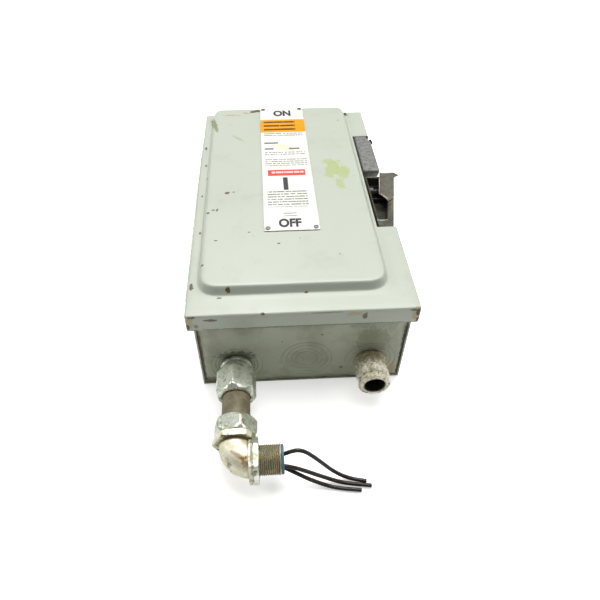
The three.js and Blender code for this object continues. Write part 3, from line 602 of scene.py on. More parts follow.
# its dark crease colour fills the thread's grooves: painted shade together with grime
threadBronze = metal(
    "thread_bronze", colour=(196, 180, 120), second=(168, 148, 88), tarnishEdge=0.52, rustEdge=0.6,
    roughness=(0.3, 0.5), dirtReach=0.0016, dirtAmount=0.95, dirt=(58, 50, 30))
castGrey = metal(
    "cast_grey", colour=(136, 136, 133), second=(108, 107, 103), tarnish=(98, 98, 88), broad=260.0,
    tarnishEdge=0.66, rustEdge=0.76, edgeAmount=0.5, metallic=0.35, roughness=(0.48, 0.66), grainScale=480.0,
    pits=0.9, relief=0.8, edge=(190, 190, 186), dirtAmount=0.6)
# the lever's near-black crease colour, reaching 16 mm, fills its trough and hollow with painted shade
leverCast = metal(
    "lever_cast", colour=(84, 84, 72), second=(52, 52, 42), tarnish=(66, 60, 40), tarnishEdge=0.58,
    rustEdge=0.76, metallic=0.35, roughness=(0.42, 0.6), grainScale=300.0, stretch=(1.0, 0.25, 1.0), relief=0.4,
    dirtReach=0.016, dirtAmount=0.95, dirt=(26, 24, 18), edge=(176, 170, 150), edgeAmount=0.5, marks=[
        # a painted highlight: a bright line along the inner edge of the tip
        ((94.6, -55.6, 104), (5.6, 1.1, 4), 0, tone(246, 240, 222), 1.0, 0.2),
        # a painted highlight: a lighter band on the lit right wall
        ((110.5, -30, 104), (1.6, 14, 3), -12, tone(122, 112, 84), 0.6, 0.8),
        ((104, 28.4, 104), (15, 1.6, 3), 0, tone(140, 142, 124), 0.8, 0.5)])
brushedTab = metal(
    "brushed_tab", colour=(116, 114, 102), second=(88, 86, 74), tarnish=(92, 84, 62), broad=90.0,
    tarnishEdge=0.6, rustEdge=0.7, metallic=0.6, grainScale=300.0, stretch=(4.0, 0.3, 1.0), relief=0.5,
    roughness=(0.34, 0.5), edgeAmount=0.95, edge=(250, 250, 246), marks=[
        # painted highlights: bright lines along the raised left edge, along the far end and on the ragged lower
        # edge
        ((102.4, 12, 105.5), (0.75, 24, 4), -9.5, tone(244, 244, 238), 0.9, 0.2),
        ((115, 34.2, 105.5), (9, 1.5, 4), 0, tone(246, 246, 242), 0.9, 0.2),
        ((104.5, -15, 105.5), (0.6, 7, 4), 31, tone(206, 198, 170), 0.7, 0.8)])
whiteCast = metal(
    "white_cast", colour=(250, 247, 236), second=(224, 216, 192), tarnish=(184, 174, 124), tarnishScale=330.0,
    tarnishEdge=0.56, rust=(116, 106, 62), rustEdge=0.63, rustScale=420.0, metallic=0.3, roughness=(0.42, 0.62),
    grainScale=560.0, edgeAmount=0.6, pits=1.0, relief=1.0, dirtAmount=0.9, dirtReach=0.002, marks=[
        # a near-black mark through the bore, neck and open mouth of the cast hub: painted shade in the hollow
        # behind and inside the nut
        ((68.3, -196, 28.5), (11, 240, 11), 0, tone(12, 12, 9), 1.0, 0.0),
        ((68.3, -190.5, 40), (16, 7, 14), 0, tone(142, 134, 88), 0.65, 1.0)])
darkSteel = metal(
    "dark_steel", colour=(128, 128, 124), second=(104, 102, 96), rustEdge=0.68, metallic=0.75,
    roughness=(0.36, 0.52), tarnish=(90, 84, 70))
blackSteel = metal(
    "black_steel", colour=(40, 40, 38), second=(28, 28, 28), tarnish=(46, 42, 34), metallic=0.1, rustEdge=0.8,
    edge=(90, 90, 86), edgeAmount=0.3)
copperPlate = metal(
    "copper_plate", colour=(206, 140, 96), second=(186, 118, 80), tarnish=(128, 84, 58), rust=(96, 104, 84),
    rustEdge=0.74, edge=(236, 186, 146))
phenolicBlack = moulded(
    "phenolic_black", colour=(52, 46, 42), second=(40, 36, 34), dust=(120, 112, 100), dustAmount=0.3, scale=38.0,
    relief=0.25, roughness=(0.42, 0.6))
fibreTan = moulded(
    "fibre_tan", colour=(196, 176, 140), second=(178, 156, 118), dust=(140, 122, 92), scale=60.0,
    grainScale=340.0, stretch=(1.0, 0.2, 1.0), relief=0.35, roughness=(0.6, 0.8))
foamRubber = moulded(
    "foam_rubber", colour=(66, 66, 66), second=(50, 50, 50), dust=(120, 116, 106), dustAmount=0.3, scale=50.0,
    grainScale=900.0, relief=0.7, roughness=(0.8, 0.95))
tubeBrown = moulded(
    "tube_brown", colour=(122, 116, 90), second=(94, 88, 66), dust=(134, 106, 70), dustAmount=0.45, scale=70.0,
    grainScale=300.0, stretch=(1.0, 0.3, 1.0), relief=0.4, roughness=(0.5, 0.7))
linerBlue = moulded("liner_blue", colour=(78, 112, 132), second=(66, 96, 114), dust=(150, 160, 150))
wireBlack = moulded(
    "wire_black", colour=(26, 22, 22), second=(34, 30, 30), dust=(92, 80, 72), dustEdge=0.63, dustAmount=0.3,
    scale=80.0, grainScale=420.0, stretch=(0.3, 1.0, 1.0), roughness=(0.3, 0.45))
inkBlack = moulded(
    "ink_black", colour=(34, 34, 36), second=(48, 48, 48), dust=(120, 118, 110), dustEdge=0.66, dustAmount=0.5,
    relief=0.1)
for wire in wires.values():
    wire.data.materials.append(wireBlack)
print("materials mixed")

# cover: lip, rolled edge, flat border, pressed panel; one value for each side of the outline in every list
coverSet = dict(
    edge=[(-107.5, -188), (107.5, -188), (107.5, -69), (86.5, -69), (86.5, 122), (107.5, 122), (107.5, 188),
          (-107.5, 188)],
    edgeRadii=[2.5, 2.5, 0.5, 1.5, 1.5, 0.5, 2.5, 2.5], edgeShrink=[1, 1, 0, -1, -1, 0, 1, 1],
    press=[(-98, -163), (83.5, -163), (83.5, -73), (83.5, -69.4), (83.5, 122.4), (83.5, 126), (83.5, 187.4),
           (-98, 187.4)], farEnd=187.4, farSlope=0.14,
    pressRadii=[22, 22, 0.4, 0.4, 0.4, 0.4, 16, 16], level=105.6, rise=8.5, slope=4.0, ease=2.4, sheet=1.6,
    roll=[2.0, 2.2, 0.8, 0.8, 0.8, 2.2, 0.3, 2.2], lipLow=[86.3, 86.3, 104, 104, 104, 86.3, 86.3, 86.3],
    between=[26, 12, 4, 22, 4, 8, 26, 40], cornerSteps=7, wave=0.12, waveSize=90, sink=0.13)


def coverSurface(c):
    # rings from the lip's lower edge inwards; every ring has the same places round the outline
    steps, half = c["cornerSteps"], c["ease"] / 2
    where = np.concatenate([np.concatenate([
        i * steps + np.arange(steps - 1),
        np.linspace(i * steps + steps - 1, (i + 1) * steps, count + 2)[:-1]])
        for i, count in enumerate(c["between"])])
    keys = ("edgeShrink", "edgeRadii", "pressRadii")
    shrink, edgeRadii, pressRadii = (np.array(c[key], float) for key in keys)

    def edgeLine(d):
        return atIndex(roundOff(inset(c["edge"], d), np.maximum(edgeRadii - shrink * d, 0.1), steps), where)

    def pressLine(d):
        radii = np.where(pressRadii > 1, np.maximum(pressRadii - d, 4.0), 0.4)
        corners = inset(c["press"], d)
        corners[6:, 1] = c["farEnd"] - c["farSlope"] * max(d, 0)
        return atIndex(roundOff(corners, radii, steps), where)

    def perSide(values):
        last, now = np.roll(values, 1), np.array(values, float)
        ramp = last[:, None] + (now - last)[:, None] * np.linspace(0, 1, steps)[None]
        return atIndex(ramp.reshape(-1, 1), where)[:, 0]

    def climb(s):
        # a straight ramp averaged over the ease length, which rounds its foot and its crest
        area = np.where(s < 0, 0, np.where(s < c["slope"], s ** 2 / (2 * c["slope"]), s - c["slope"] / 2))
        return c["rise"] * area
    roll, low = perSide(c["roll"]), perSide(c["lipLow"])
    outside = edgeLine(0)
    inward = (edgeLine(0.05) - outside) / 0.05
    lip = c["level"] - roll - low
    rings = [np.column_stack([outside, low + part * lip]) for part in np.linspace(0, 1, 6)]
    for angle in np.radians([18, 36, 54, 72, 90]):
        rings.append(np.column_stack([outside + inward * (roll * (1 - math.cos(angle)))[:, None],
                                      c["level"] - roll * (1 - math.sin(angle))]))
    innerEdge, pressEdge = rings[-1][:, :2], pressLine(-half)
    rings += [atHeight(innerEdge + (pressEdge - innerEdge) * part, c["level"]) for part in (0.33, 0.67)]
    for s in np.linspace(-half, c["slope"] + half, 12):
        rings.append(atHeight(pressLine(s), c["level"] + (climb(s + half) - climb(s - half)) / c["ease"]))
    rings += [atHeight(pressLine(s), c["level"] + c["rise"]) for s in (8.0, 16.0, 40.0)]
    rings = np.array(rings)
    above = rings[..., 2] - c["level"]
    rings[..., 2] += wobble(rings, c["wave"], c["waveSize"], 3) * (above > -0.2)
    rings[..., 2] -= c["sink"] * (above > c["rise"] - 0.3)
    return sleeve(rings, capStart=False)


putTogether("cover_shell", [coverSurface(coverSet)], coverPaint, "cover", ("cover",), sharp=40,
            wall=coverSet["sheet"], facing=(0, 0, 1))
print("cover pressed")

# bottom end wall: a pan whose face has stepped knockout rings round each opening; a cell is its left and right
# edges, the x and z of its rings, the radius of its hole and the radii of its rings
wallSet = dict(face=-185.2, half=99.4, low=1.9, high=100.9, depth=12.0, bend=1.5, sheet=1.6,
               cells=[(-99.4, -30.75, -65.5, 28.5, 13.6, [25.2, 20.5, 17.6]),
                      (-30.75, 36.15, 4.0, 34.0, 0.0, [25.2, 20.5, 15.5, 11.0]),
                      (36.15, 99.4, 68.3, 28.5, 11.4, [25.2, 20.5, 16.6])],
               middle=34.0, groove=0.45, grooveWidth=0.42, step=0.16, ringEnd=27, leastHole=0.6)


def knockoutCell(w, cell):
    # radius and angle grid from the hole out to the cell's rectangle; the depth is a sum of narrow bell-shaped
    # grooves at the ring radii, and each disc inside a ring stands a little further in
    left, right, x, middle, hole, radii = cell
    b, tiny = w["bend"], 1e-9
    left, right = max(left, -w["half"] + b), min(right, w["half"] - b)
    low, high = w["low"] + b, w["high"] - b
    corners = [math.atan2(v - w["middle"], u - x) for u in (left, right) for v in (low, high)]
    angle = np.sort(np.concatenate([np.linspace(-math.pi, math.pi, 116, endpoint=False), corners]))
    c, s = np.cos(angle), np.sin(angle)
    acrossX = np.where(c > 0, right - x, left - x) / np.where(np.abs(c) < tiny, tiny, c)
    acrossZ = np.where(s > 0, high - w["middle"], low - w["middle"]) / np.where(np.abs(s) < tiny, tiny, s)
    border = np.minimum(np.abs(acrossX), np.abs(acrossZ))
    near = np.array([-1.1, -0.6, -0.35, -0.15, 0, 0.15, 0.35, 0.6, 1.1])
    start = max(hole, w["leastHole"])
    steps = np.sort(np.concatenate([[start]] + [r + near for r in radii]))
    steps = steps[steps >= start]
    ringEnd = w["ringEnd"]
    radius = np.vstack([np.repeat(steps[:, None], len(angle), 1), ringEnd + (border - ringEnd) * 0.4, border])
    level = np.zeros_like(radius)
    for r in radii:
        level += w["groove"] * np.exp(-((radius - r) / w["grooveWidth"]) ** 2) + w["step"] * (radius < r)
    level = np.where(radius > ringEnd - 0.5, 0, level)
    level[:-1] += wobble(np.stack([radius * c, 0 * radius, radius * s], -1), 0.07, 30, 5)[:-1]
    level = np.maximum(level, 0)
    rise = np.full(len(radius), middle)
    rise[-2:] = middle * 0.6 + w["middle"] * 0.4, w["middle"]
    height = rise[:, None] + radius * s
    height[:-1] = np.clip(height[:-1], low + 0.06, high - 0.06)
    points = np.stack([x + radius * c, w["face"] + level, height], -1)
    return sleeve(points, capStart=hole == 0, capEnd=False)


def panRim(w):
    # the bend round the face and the flange behind it
    rings = []
    box = [(-w["half"], w["low"]), (w["half"], w["low"]), (w["half"], w["high"]), (-w["half"], w["high"])]
    for angle in np.radians([0, 22, 45, 68, 90]):
        d = w["bend"] * (1 - math.sin(angle))
        line = roundOff(inset(box, d), max(w["bend"] - d, 0.02), 5)
        back = np.full(len(line), w["face"] + w["bend"] * (1 - math.cos(angle)))
        rings.append(np.column_stack([line[:, 0], back, line[:, 1]]))
    last = rings[-1].copy()
    last[:, 1] = w["face"] + w["depth"]
    return sleeve(rings + [last], False, False)


putTogether("end_wall_pan", [knockoutCell(wallSet, cell) for cell in wallSet["cells"]] + [panRim(wallSet)],
            wallPaint, "enclosure", ("bottom_end_wall",), sharp=40, wall=wallSet["sheet"],
            facing=(0, -1, 0))
for node, ease in (("enclosure_wrapper", 0.7), ("top_end_wall", 0.6), ("handle_recess", 0.6)):
    eased(node, boxPaint, "enclosure", ease)
print("box folded")

# printed plate with plain bands and rules in place of its printing
labelSet = dict(left=-33, right=24.5, bottom=-82, top=185.4, low=114.4, thick=0.8, radius=1.6, edge=0.2)
grey, darkGrey = tone(70, 70, 68), tone(40, 40, 40)
# broken rules: left, right, bottom, top, spacing of the rows, seed, share left out, ink, strength
printRows = [
    (-29, 12, 122, 152, 9.6, 1, 0.34, tone(60, 42, 10), 0.9), (-29, 20, 108, 117.5, 4.6, 2, 0.44, grey, 0.8),
    (-29, -12, 91, 98, 7.0, 3, 0.25, darkGrey, 0.9), (-29, -18, 77, 84, 7.0, 4, 0.25, darkGrey, 0.9),
    (1, 14, 77, 84, 7.0, 5, 0.25, darkGrey, 0.9), (-29, 20, 62, 72, 4.6, 6, 0.47, grey, 0.8),
    (-29, 21, 40, 56, 4.4, 7, 0.44, tone(76, 76, 74), 0.75), (-28, 16, -42, -12, 4.8, 8, 0.42, grey, 0.8),
    (-12, 2, -58.5, -52.5, 6.0, 9, 0.33, tone(60, 60, 60), 0.85)]


def printedPlate(name):
    material, tree, shader, where = startMaterial(name)
    apart = put(tree, "SeparateXYZ", {0: where}).outputs
    paper = noiseAt(tree, where, 30.0, 5.0)
    colour = blend(tree, ramped(tree, paper, 0.35, 0.75), tone(236, 236, 230), tone(222, 222, 210))

    def between(value, low, high):
        middle, half, soft = (low + high) / 2 * mm, abs(high - low) / 2 * mm, 0.00015
        gap = maths(tree, "ABSOLUTE", maths(tree, "SUBTRACT", value, middle))
        return ramped(tree, gap, half + soft, half - soft)

    def area(x0, x1, y0, y1):
        return maths(tree, "MULTIPLY", between(apart[0], x0, x1), between(apart[1], y0, y1))

    def dashes(x0, x1, y0, y1, pitch, seed, cover):
        # rows of short broken rules that stand for small print
        rows = maths(tree, "DIVIDE", apart[1], pitch * mm)
        line = ramped(tree, maths(tree, "FRACT", rows), 0.5, 0.42)
        spot = put(tree, "CombineXYZ", {0: apart[0], 1: maths(tree, "FLOOR", rows), 2: float(seed)}).outputs[0]
        word = ramped(tree, noiseAt(tree, spot, 420.0, 1.0), cover - 0.03, cover + 0.03)
        return maths(tree, "MULTIPLY", maths(tree, "MULTIPLY", line, word), area(x0, x1, y0, y1))
    smudge = use(tree, blot, Vector=where, Centre=(-0.006, 0.082, 0.115), Size=(0.013, 0.006, 0.02), Turn=0.5,
                 Ragged=0.5)["Mask"]
    colour = tint(tree, colour, smudge, 0.6, tone(214, 212, 160))
    colour = blend(tree, area(-40, 30, 119.5, 153), colour, tone(238, 158, 14))
    for *row, ink, strength in printRows:
        colour = tint(tree, colour, dashes(*row), strength, ink)
    for y in (104, 89, 74.5, 59.5):
        colour = tint(tree, colour, area(-4, 21, y - 0.35, y + 0.35), 0.45, tone(110, 110, 106))
    colour = blend(tree, area(-26.5, 17, 18.6, 31), colour, tone(214, 62, 46))
    colour = tint(tree, colour, dashes(-22, 15, 20.4, 29.4, 8.0, 10, 0.42), 0.85, tone(240, 226, 218))
    colour = blend(tree, area(-9.6, -4.2, -10, 15), colour, tone(32, 32, 32))
    worn = stainAt(tree, where, 150.0, 0.72, 0.02)
    colour = tint(tree, colour, worn, 0.6, tone(178, 176, 158))
    edge = edgesAt(tree, where, 0.0006, 150.0, 0.55)
    colour = blend(tree, edge, colour, tone(120, 104, 74))
    height = grainAt(tree, where, 500.0, 0.1)
    joinShader(tree, shader, colour, ramped(tree, paper, 0.3, 0.7, 0.32, 0.48), height, 0.12, 0.0002)
    return material


s = labelSet
plateCorners = [(s["left"], s["bottom"]), (s["right"], s["bottom"]), (s["right"], s["top"]), (s["left"], s["top"])]
putTogether("printed_plate", [slab(plateCorners, s["radius"], s["low"], s["low"] + s["thick"], s["edge"])],
            printedPlate("plate_print"), "cover", ("rating_label",))
wordSet = dict(ON=(-15.4, 7.8, 162.5, 178.5), OFF=(-17.7, 6.1, -77.0, -62.5), level=115.22, thick=0.06,
               bold=0.045)


def printWord(word, s):
    # flat letters brought to the size of their place, then set down as a mesh
    text = bpy.data.curves.new(word, "FONT")
    text.body = word
    text.extrude = 0.5
    text.offset = s["bold"]
    text.resolution_u = 4
    source = bpy.data.objects.new(word, text)
    bpy.context.scene.collection.objects.link(source)
    bpy.context.view_layer.update()
    mesh = bpy.data.meshes.new_from_object(source)
    bpy.data.objects.remove(source)
    points = np.zeros(len(mesh.vertices) * 3)
    mesh.vertices.foreach_get("co", points)
    points = points.reshape(-1, 3)
    part = (points - points.min(0)) / (points.max(0) - points.min(0))
    x0, x1, y0, y1 = s[word]
    low = np.array([x0, y0, s["level"]])
    points = (low + part * (np.array([x1, y1, s["level"] + s["thick"]]) - low)) * mm
    mesh.vertices.foreach_set("co", points.ravel())
    mesh.update()
    place("print_" + word.lower(), mesh, inkBlack, "cover")


for word in ("ON", "OFF"):
    printWord(word, wordSet)

# rivets: a low dome with a set rim
rivetSet = dict(places=[(-29, 181.4), (20.5, 181.4), (-29, -78), (20.5, -78)], low=115.5, radius=2.6, high=1.1,
                rim=0.35, shank=1.2, deep=3.2)
r, low, rim = rivetSet["radius"], rivetSet["low"], rivetSet["rim"]
rivetProfile = [(0.01, low - rivetSet["deep"]), (rivetSet["shank"], low - rivetSet["deep"]),
                (rivetSet["shank"], low), (r - 0.15, low), (r, low + 0.15)]
rivetProfile += [(r * math.cos(a), low + rim + (rivetSet["high"] - rim) * math.sin(a))
                 for a in np.linspace(0, math.pi / 2, 7)[:-1]]
rivetProfile.append((0.01, low + rivetSet["high"]))
for number, spot in enumerate(rivetSet["places"], 1):
    turned(f"plate_rivet_{number}", rivetProfile, "z", spot, 32, darkSteel,
           (f"label_rivet_{number}",), body="cover")
print("plate riveted")

# handle housing: a cast block, undercut at its near face, one corner cut off
housingSet = dict(left=88.3, right=108.3, near=38.5, far=121.0, low=70.0, high=106.3, round=2.0, undercut=9.5,
                  radii=[1.5, 2.5, 3, 3, 2])


def castHousing(h):
    # outline rings by height; the near side runs back below the lip, the top edge is a quarter circle
    crest = h["high"] - h["round"]
    levels = [(h["low"], 0.6), (71, 0)] + [(z, 0) for z in np.linspace(76, crest, 9)]
    levels += [(h["high"] - h["round"] * (1 - math.sin(a)), h["round"] * (1 - math.cos(a)))
               for a in np.radians([22, 45, 68, 90])]
    rings = []
    for z, d in levels:
        near = h["near"] + np.interp(z, [88, 103.0], [h["undercut"], 0])
        corners = [(h["left"], near), (h["right"], near), (h["right"], 104), (h["right"] - 5, h["far"]),
                   (h["left"], h["far"])]
        rings.append(atHeight(roundOff(inset(corners, d), h["radii"], 6), z))
    rings = np.array(rings)
    middle = rings[-1].mean(0)
    top = [middle + (rings[-1] - middle) * part for part in (0.86, 0.64, 0.4, 0.15)]
    rings = np.concatenate([rings, top])
    shift = wobble(rings, 0.22, 12, 8) + wobble(rings, 0.1, 4, 9)
    rings[..., 0] += shift * (rings[..., 0] > h["left"] + 1)
    rings[..., 2] = np.minimum(rings[..., 2] + shift * (rings[..., 2] > 80) - 0.25, h["high"])
    return sleeve(rings)


putTogether("cast_housing", [castHousing(housingSet)], castGrey, "enclosure", ("handle_housing",),
            sharp=48)
screwSet = dict(centre=(115.5, 99.0), profile=[
    (0.01, 98.8), (2.4, 98.8), (2.4, 107.8), (4, 107.8), (4, 110.8), (2, 110.8), (2, 112.3), (0.01, 112.3)],
    radii=[0, 0.2, 0.2, 0.5, 0.6, 0.2, 0.5, 0], teeth=18, tooth=0.2)
turned("lock_screw", roundOff(screwSet["profile"], screwSet["radii"], 5), "x", screwSet["centre"], 72,
       blackSteel, ("housing_lock_screw",),
       lambda r, h, a: r + screwSet["tooth"] * np.cos(screwSet["teeth"] * a) * (r > 3.6))

# operating lever: a tapered trough with rounded rim, drafted inside walls and a raised tip
leverSet = dict(outside=[(88.8, -67), (105, -67), (119.5, 8), (119.5, 29), (88.8, 29)],
                inside=[(90.4, -55.5), (99.6, -55.5), (113.0, 6), (114.2, 27.4), (90.4, 27.4)],
                radii=[3.5, 3.5, 5, 2.5, 2.5], insideRadii=[1.2, 1.4, 4, 2, 1.4], low=80.0, high=104.2,
                floor=([-56, -20, 8], [96.0, 88.0, 83.5]))


def leverTrough(s):
    # rings run up the outside, over the rim and down to the floor; part 0 is the outer outline and 1 the inner
    outer = roundOff(s["outside"], s["radii"], 8)
    inner = roundOff(s["inside"], s["insideRadii"], 8)
    shrunk = roundOff(inset(s["outside"], 1.6), np.maximum(np.array(s["radii"]) - 1.2, 1), 8)
    rings = [atHeight(shrunk, s["low"]), atHeight(outer + (shrunk - outer) * 0.3, s["low"] + 0.5)]
    rings += [atHeight(outer, z) for z in (s["low"] + 1.8, 88, 96, s["high"] - 0.9)]
    rings += [atHeight(outer + (inner - outer) * part, s["high"] - drop) for part, drop in (
        (0.06, 0.3), (0.16, 0), (0.5, 0), (0.86, 0.05), (0.97, 0.35), (1.0, 1.1))]
    centre = inner.mean(0)
    for part, lift in ((0.99, 3.0), (0.97, 1.2), (0.93, 0.3), (0.86, 0), (0.5, 0)):
        flatPart = centre + (inner - centre) * part
        rings.append(np.column_stack([flatPart, np.interp(flatPart[:, 1], *s["floor"]) + lift]))
    rings = np.array(rings)
    y = rings[..., 1]
    rim = np.clip((rings[..., 2] - 97) / 5, 0, 1)
    rings[..., 2] -= rim * 0.9 * np.clip((y - 26) / 2, 0, 1)
    rings[..., 2] += rim * 0.4 * np.exp(-((y + 56) / 1.4) ** 2)
    rings[..., 2] += wobble(rings, 0.16, 12, 11) * (rings[..., 2] > s["low"] + 1)
    return sleeve(rings)


def ridge(x0, x1, y, z, halfWide, high):
    # a half-round bar across the trough
    t = np.linspace(0, math.pi, 12)
    ring = np.column_stack([0 * t, y + halfWide * np.cos(t), z + high * np.sin(t)])
    return sleeve([ring + [x, 0, 0] for x in np.linspace(x0, x1, 3)])


ribs = [ridge(90.8, 114.6, 24.6, 82.5, 1.8, 11.0), ridge(90.8, 113.6, 3.2, 82.5, 1.8, 8.0),
        ridge(90.6, 111.0, -6, 84.0, 1.2, 2.6)]
putTogether("lever_trough", [leverTrough(leverSet)] + ribs, leverCast, "handle",
            ("operating_lever",), sharp=50)

# shaft: a collar in mid length and turned grooves on its outer part
shaftSet = dict(centre=(14.0, 91.0), pitch=3.2, depth=0.6, grooved=(97, 110.3))
shaftProfile = [(0.01, 65.0), (4.6, 65.0), (5, 65.4)] + alongHeight(5.0, 66, 91.6, 14)
shaftProfile += [(7.3, 91.9), (7.5, 92.2), (7.5, 96.5), (7.3, 96.8)] + alongHeight(5.0, 97.1, 110.2, 40)
shaftProfile += [(4.6, 110.8), (0.01, 110.8)]


def shaftGrooves(r, h, a):
    # a triangular wave of the height, on the outer part only
    start, end = shaftSet["grooved"]
    wave = np.abs((h / shaftSet["pitch"]) % 1 - 0.5) * 2
    return r - shaftSet["depth"] * wave * ((h > start) & (h < end) & (r > 4.5))


turned("grooved_shaft", shaftProfile, "x", shaftSet["centre"], 48, blackSteel, ("handle_shaft",),
       shaftGrooves, body="handle")

# lockout tab: a bright plate with a ragged corner, a raised edge and a tongue; edges are lists of y and of x
tabSet = dict(low=104.5, thick=1.0, columns=26,
              left=([-22.5, -17.5, -12.4, -10, 17, 35.3], [106.9, 104.4, 102.2, 99, 103.4, 107.0]),
              right=([-22.5, -20, -14.2, -2, 22.5, 25.5, 28.4, 30.5, 33.2, 35.3],
                     [107.4, 110.6, 115.2, 117.4, 122.2, 124.6, 129.4, 127.0, 124.5, 120.8]))


def tabPlate(s):
    # left and right edges as functions of y; the upper face rises at the left edge and droops to the right
    y = np.concatenate([np.linspace(-22.5, -10, 26), np.linspace(-9.4, 35.3, 44)])[:, None]
    left = np.interp(y, *s["left"]) + 0.4 * np.sin(y * 2.3) * (y < -10)
    right = np.interp(y, *s["right"]) + 0.35 * np.sin(y * 1.9 + 1) * (y < -12)
    x = left + (right - left) * np.linspace(0, 1, s["columns"])[None, :]
    rise = np.exp(-(x - left) ** 2) * (y > -11)
    droop = np.clip((x - 119) / 9, 0, 1) ** 2
    top = s["low"] + s["thick"] + 0.55 * rise - 0.4 * droop + 0.05 * np.sin(x * 1.7 + y * 0.6)
    yy = np.repeat(y, s["columns"], 1)
    under = np.stack([x, yy, s["low"] + 0 * x], -1)[:, ::-1]
    return sleeve(np.concatenate([np.stack([x, yy, top], -1), under], 1))


putTogether("bright_tab", [tabPlate(tabSet)], brushedTab, "handle", ("lockout_tab",), sharp=42)
print("handle cast")

# left fitting: hub, gland nut, tube, lower nut, elbow, thread, ring nut and liner; profiles are radius and place
# along the axis
fitSet = dict(x=-65.5, z=28.5, legY=-289.2, turnRadius=15.2, bore=9.8, wall=14.8)
centre = (fitSet["x"], fitSet["z"])
sideways = (fitSet["legY"], fitSet["z"])
hubTop = [(10.2, -174), (13.2, -174), (13.2, -185.5), (16.0, -185.5), (16.0, -189.5), (14.2, -190.5)]
hubBody = roundOff(hubTop, [0.2, 0.3, 0.2, 0.9, 0.8, 0.3], 5).tolist() + alongHeight(14.2, -191, -203.1, 48)
turned("connector_hub", hubBody + [(13.8, -203.4), (10.2, -203.4)], "y", centre, 96, zincPlate,
       ("connector_body",), thread(-203, -191, 1.8, 0.5))
highNut = roundOff(
    [(14.6, -195.2), (17.6, -195.2), (20.6, -199.4), (20.6, -219.0), (16.4, -224.4), (13.65, -224.4),
     (13.65, -205.0), (14.6, -205.0)], [0.2, 1.0, 1.6, 2.2, 1.6, 0.4, 0.2, 0.2], 8)
lowNut = roundOff(
    [(13.65, -250.2), (17.6, -250.2), (20.8, -253.8), (20.8, -262.0), (18.2, -266.6), (14.9, -266.6),
     (14.9, -259.8), (13.65, -259.8)], [0.3, 1.8, 2.0, 1.2, 0.9, 0.3, 0.2, 0.2], 7)
turned("gland_nut", highNut, "y", centre, 144, zincPlate, ("connector_nut",),
       hexRadius(20.4, math.radians(37.5)), sharp=24)
tubeProfile = [(9.5, -259.5), (13.1, -259.5), (13.35, -259.2)] + alongHeight(13.35, -258, -206, 50)
turned("rubber_tube", tubeProfile + [(13.35, -205.1), (13.1, -204.8), (9.5, -204.8)], "y", centre, 96, tubeBrown,
       ("conduit_tube",),
       lambda r, h, a: r - 0.12 * (r > 13.2) * (1 + np.sin(h * 1.9 + 0.6 * np.sin(a * 3))))
turned("elbow_gland_nut", lowNut, "y", centre, 144, zincPlate, ("elbow_nut",),
       hexRadius(20.6, math.radians(12.5)), sharp=24)


def elbowSkin(f):
    # a circle carried down the leg, round a quarter turn and out to the right; its radius changes along the way
    run = f["turnRadius"] * math.pi / 2
    down = f["legY"] + f["turnRadius"]
    outer = [(-12.0, 14.2), (-11.0, 14.4), (-7, 14.4), (-1.5, 14.6)]
    outer += [(s, f["wall"] + 0.35 * math.sin(math.pi * s / run)) for s in np.linspace(0, run, 28)]
    outer += [(run + 0.8, f["wall"]), (run + 1.0, 14.6)]
    inner = [(s, f["bore"]) for s in np.linspace(run + 1.0, -11.5, 26)]
    along, radius = np.array(outer + inner).T
    bend = np.clip(along, 0, run) / f["turnRadius"]
    x = f["x"] + f["turnRadius"] * (1 - np.cos(bend)) + np.clip(along - run, 0, None)
    y = down - f["turnRadius"] * np.sin(bend) - np.clip(along, None, 0)
    side = np.column_stack([np.cos(bend), np.sin(bend)])
    angle = np.linspace(0, 2 * math.pi, 96, endpoint=False)
    reach = radius[:, None] * np.cos(angle)
    rings = np.stack([x[:, None] + reach * side[:, :1], y[:, None] + reach * side[:, 1:2],
                      f["z"] + radius[:, None] * np.sin(angle)], -1)
    rings += unitRows(rings - np.stack([x, y, 0 * x + f["z"]], -1)[:, None]) * (
        wobble(rings, 0.14, 9, 21)[..., None] * (radius[:, None, None] > 12))
    return sleeve(rings, closeRows=True)


flangeProfile = roundOff([(14.0, -267.8), (19.6, -267.8), (21.4, -269.0), (21.4, -272.6), (20.4, -273.6),
                          (14.0, -273.6)], [0.2, 0.8, 0.7, 0.6, 0.5, 0.2], 6)
flangeHex = hexRadius(21.4, 0.0, 0.98)


def flangeShape(r, h, a):
    # a hexagon cut straight on the side of the outlet
    return np.minimum(flangeHex(r, h, a), np.where(np.cos(a) > 0.3, 15.2 / np.maximum(np.cos(a), 0.3), 99))


flange = turnedBody(flangeProfile, "y", centre, 144, flangeShape)
ringTurn = math.radians(13.7)
collarProfile = roundOff([(13.6, -53.5), (20.3, -53.5), (20.8, -50), (13.6, -50)], [0.2, 0.7, 0.5, 0.2], 5)
collar = turnedBody(collarProfile, "x", sideways, 144, hexRadius(20.8, ringTurn))
putTogether("elbow_casting", [elbowSkin(fitSet), flange, collar], elbowZinc, "enclosure",
            ("elbow_body",), sharp=38)
threadProfile = [(9.8, -50.2), (13.0, -50.2)] + alongHeight(13.5, -45.2, -26.4, 96)
threadProfile += [(13.0, -26.0), (9.8, -26.0)] + alongHeight(9.8, -27, -49, 8)
turned("elbow_thread", threadProfile, "x", sideways, 96, threadBronze,
       shape=thread(-45, -26.8, 1.81, 1.25))
lockProfile = roundOff([(13.9, -49.6), (19.8, -49.6), (21, -48.6), (21, -46.0), (19.8, -45), (13.9, -45)],
                       [0.3, 0.5, 0.6, 0.6, 0.5, 0.3], 5)
turned("elbow_ring_nut", lockProfile, "x", sideways, 144, zincPlate, ("elbow_locknut",),
       hexRadius(21, ringTurn), sharp=26)
linerProfile = roundOff([(9.9, -25.7), (12.8, -25.7), (12.8, -23.2), (9.9, -23.2)], [0.4, 0.4, 0.9, 0.9], 6)
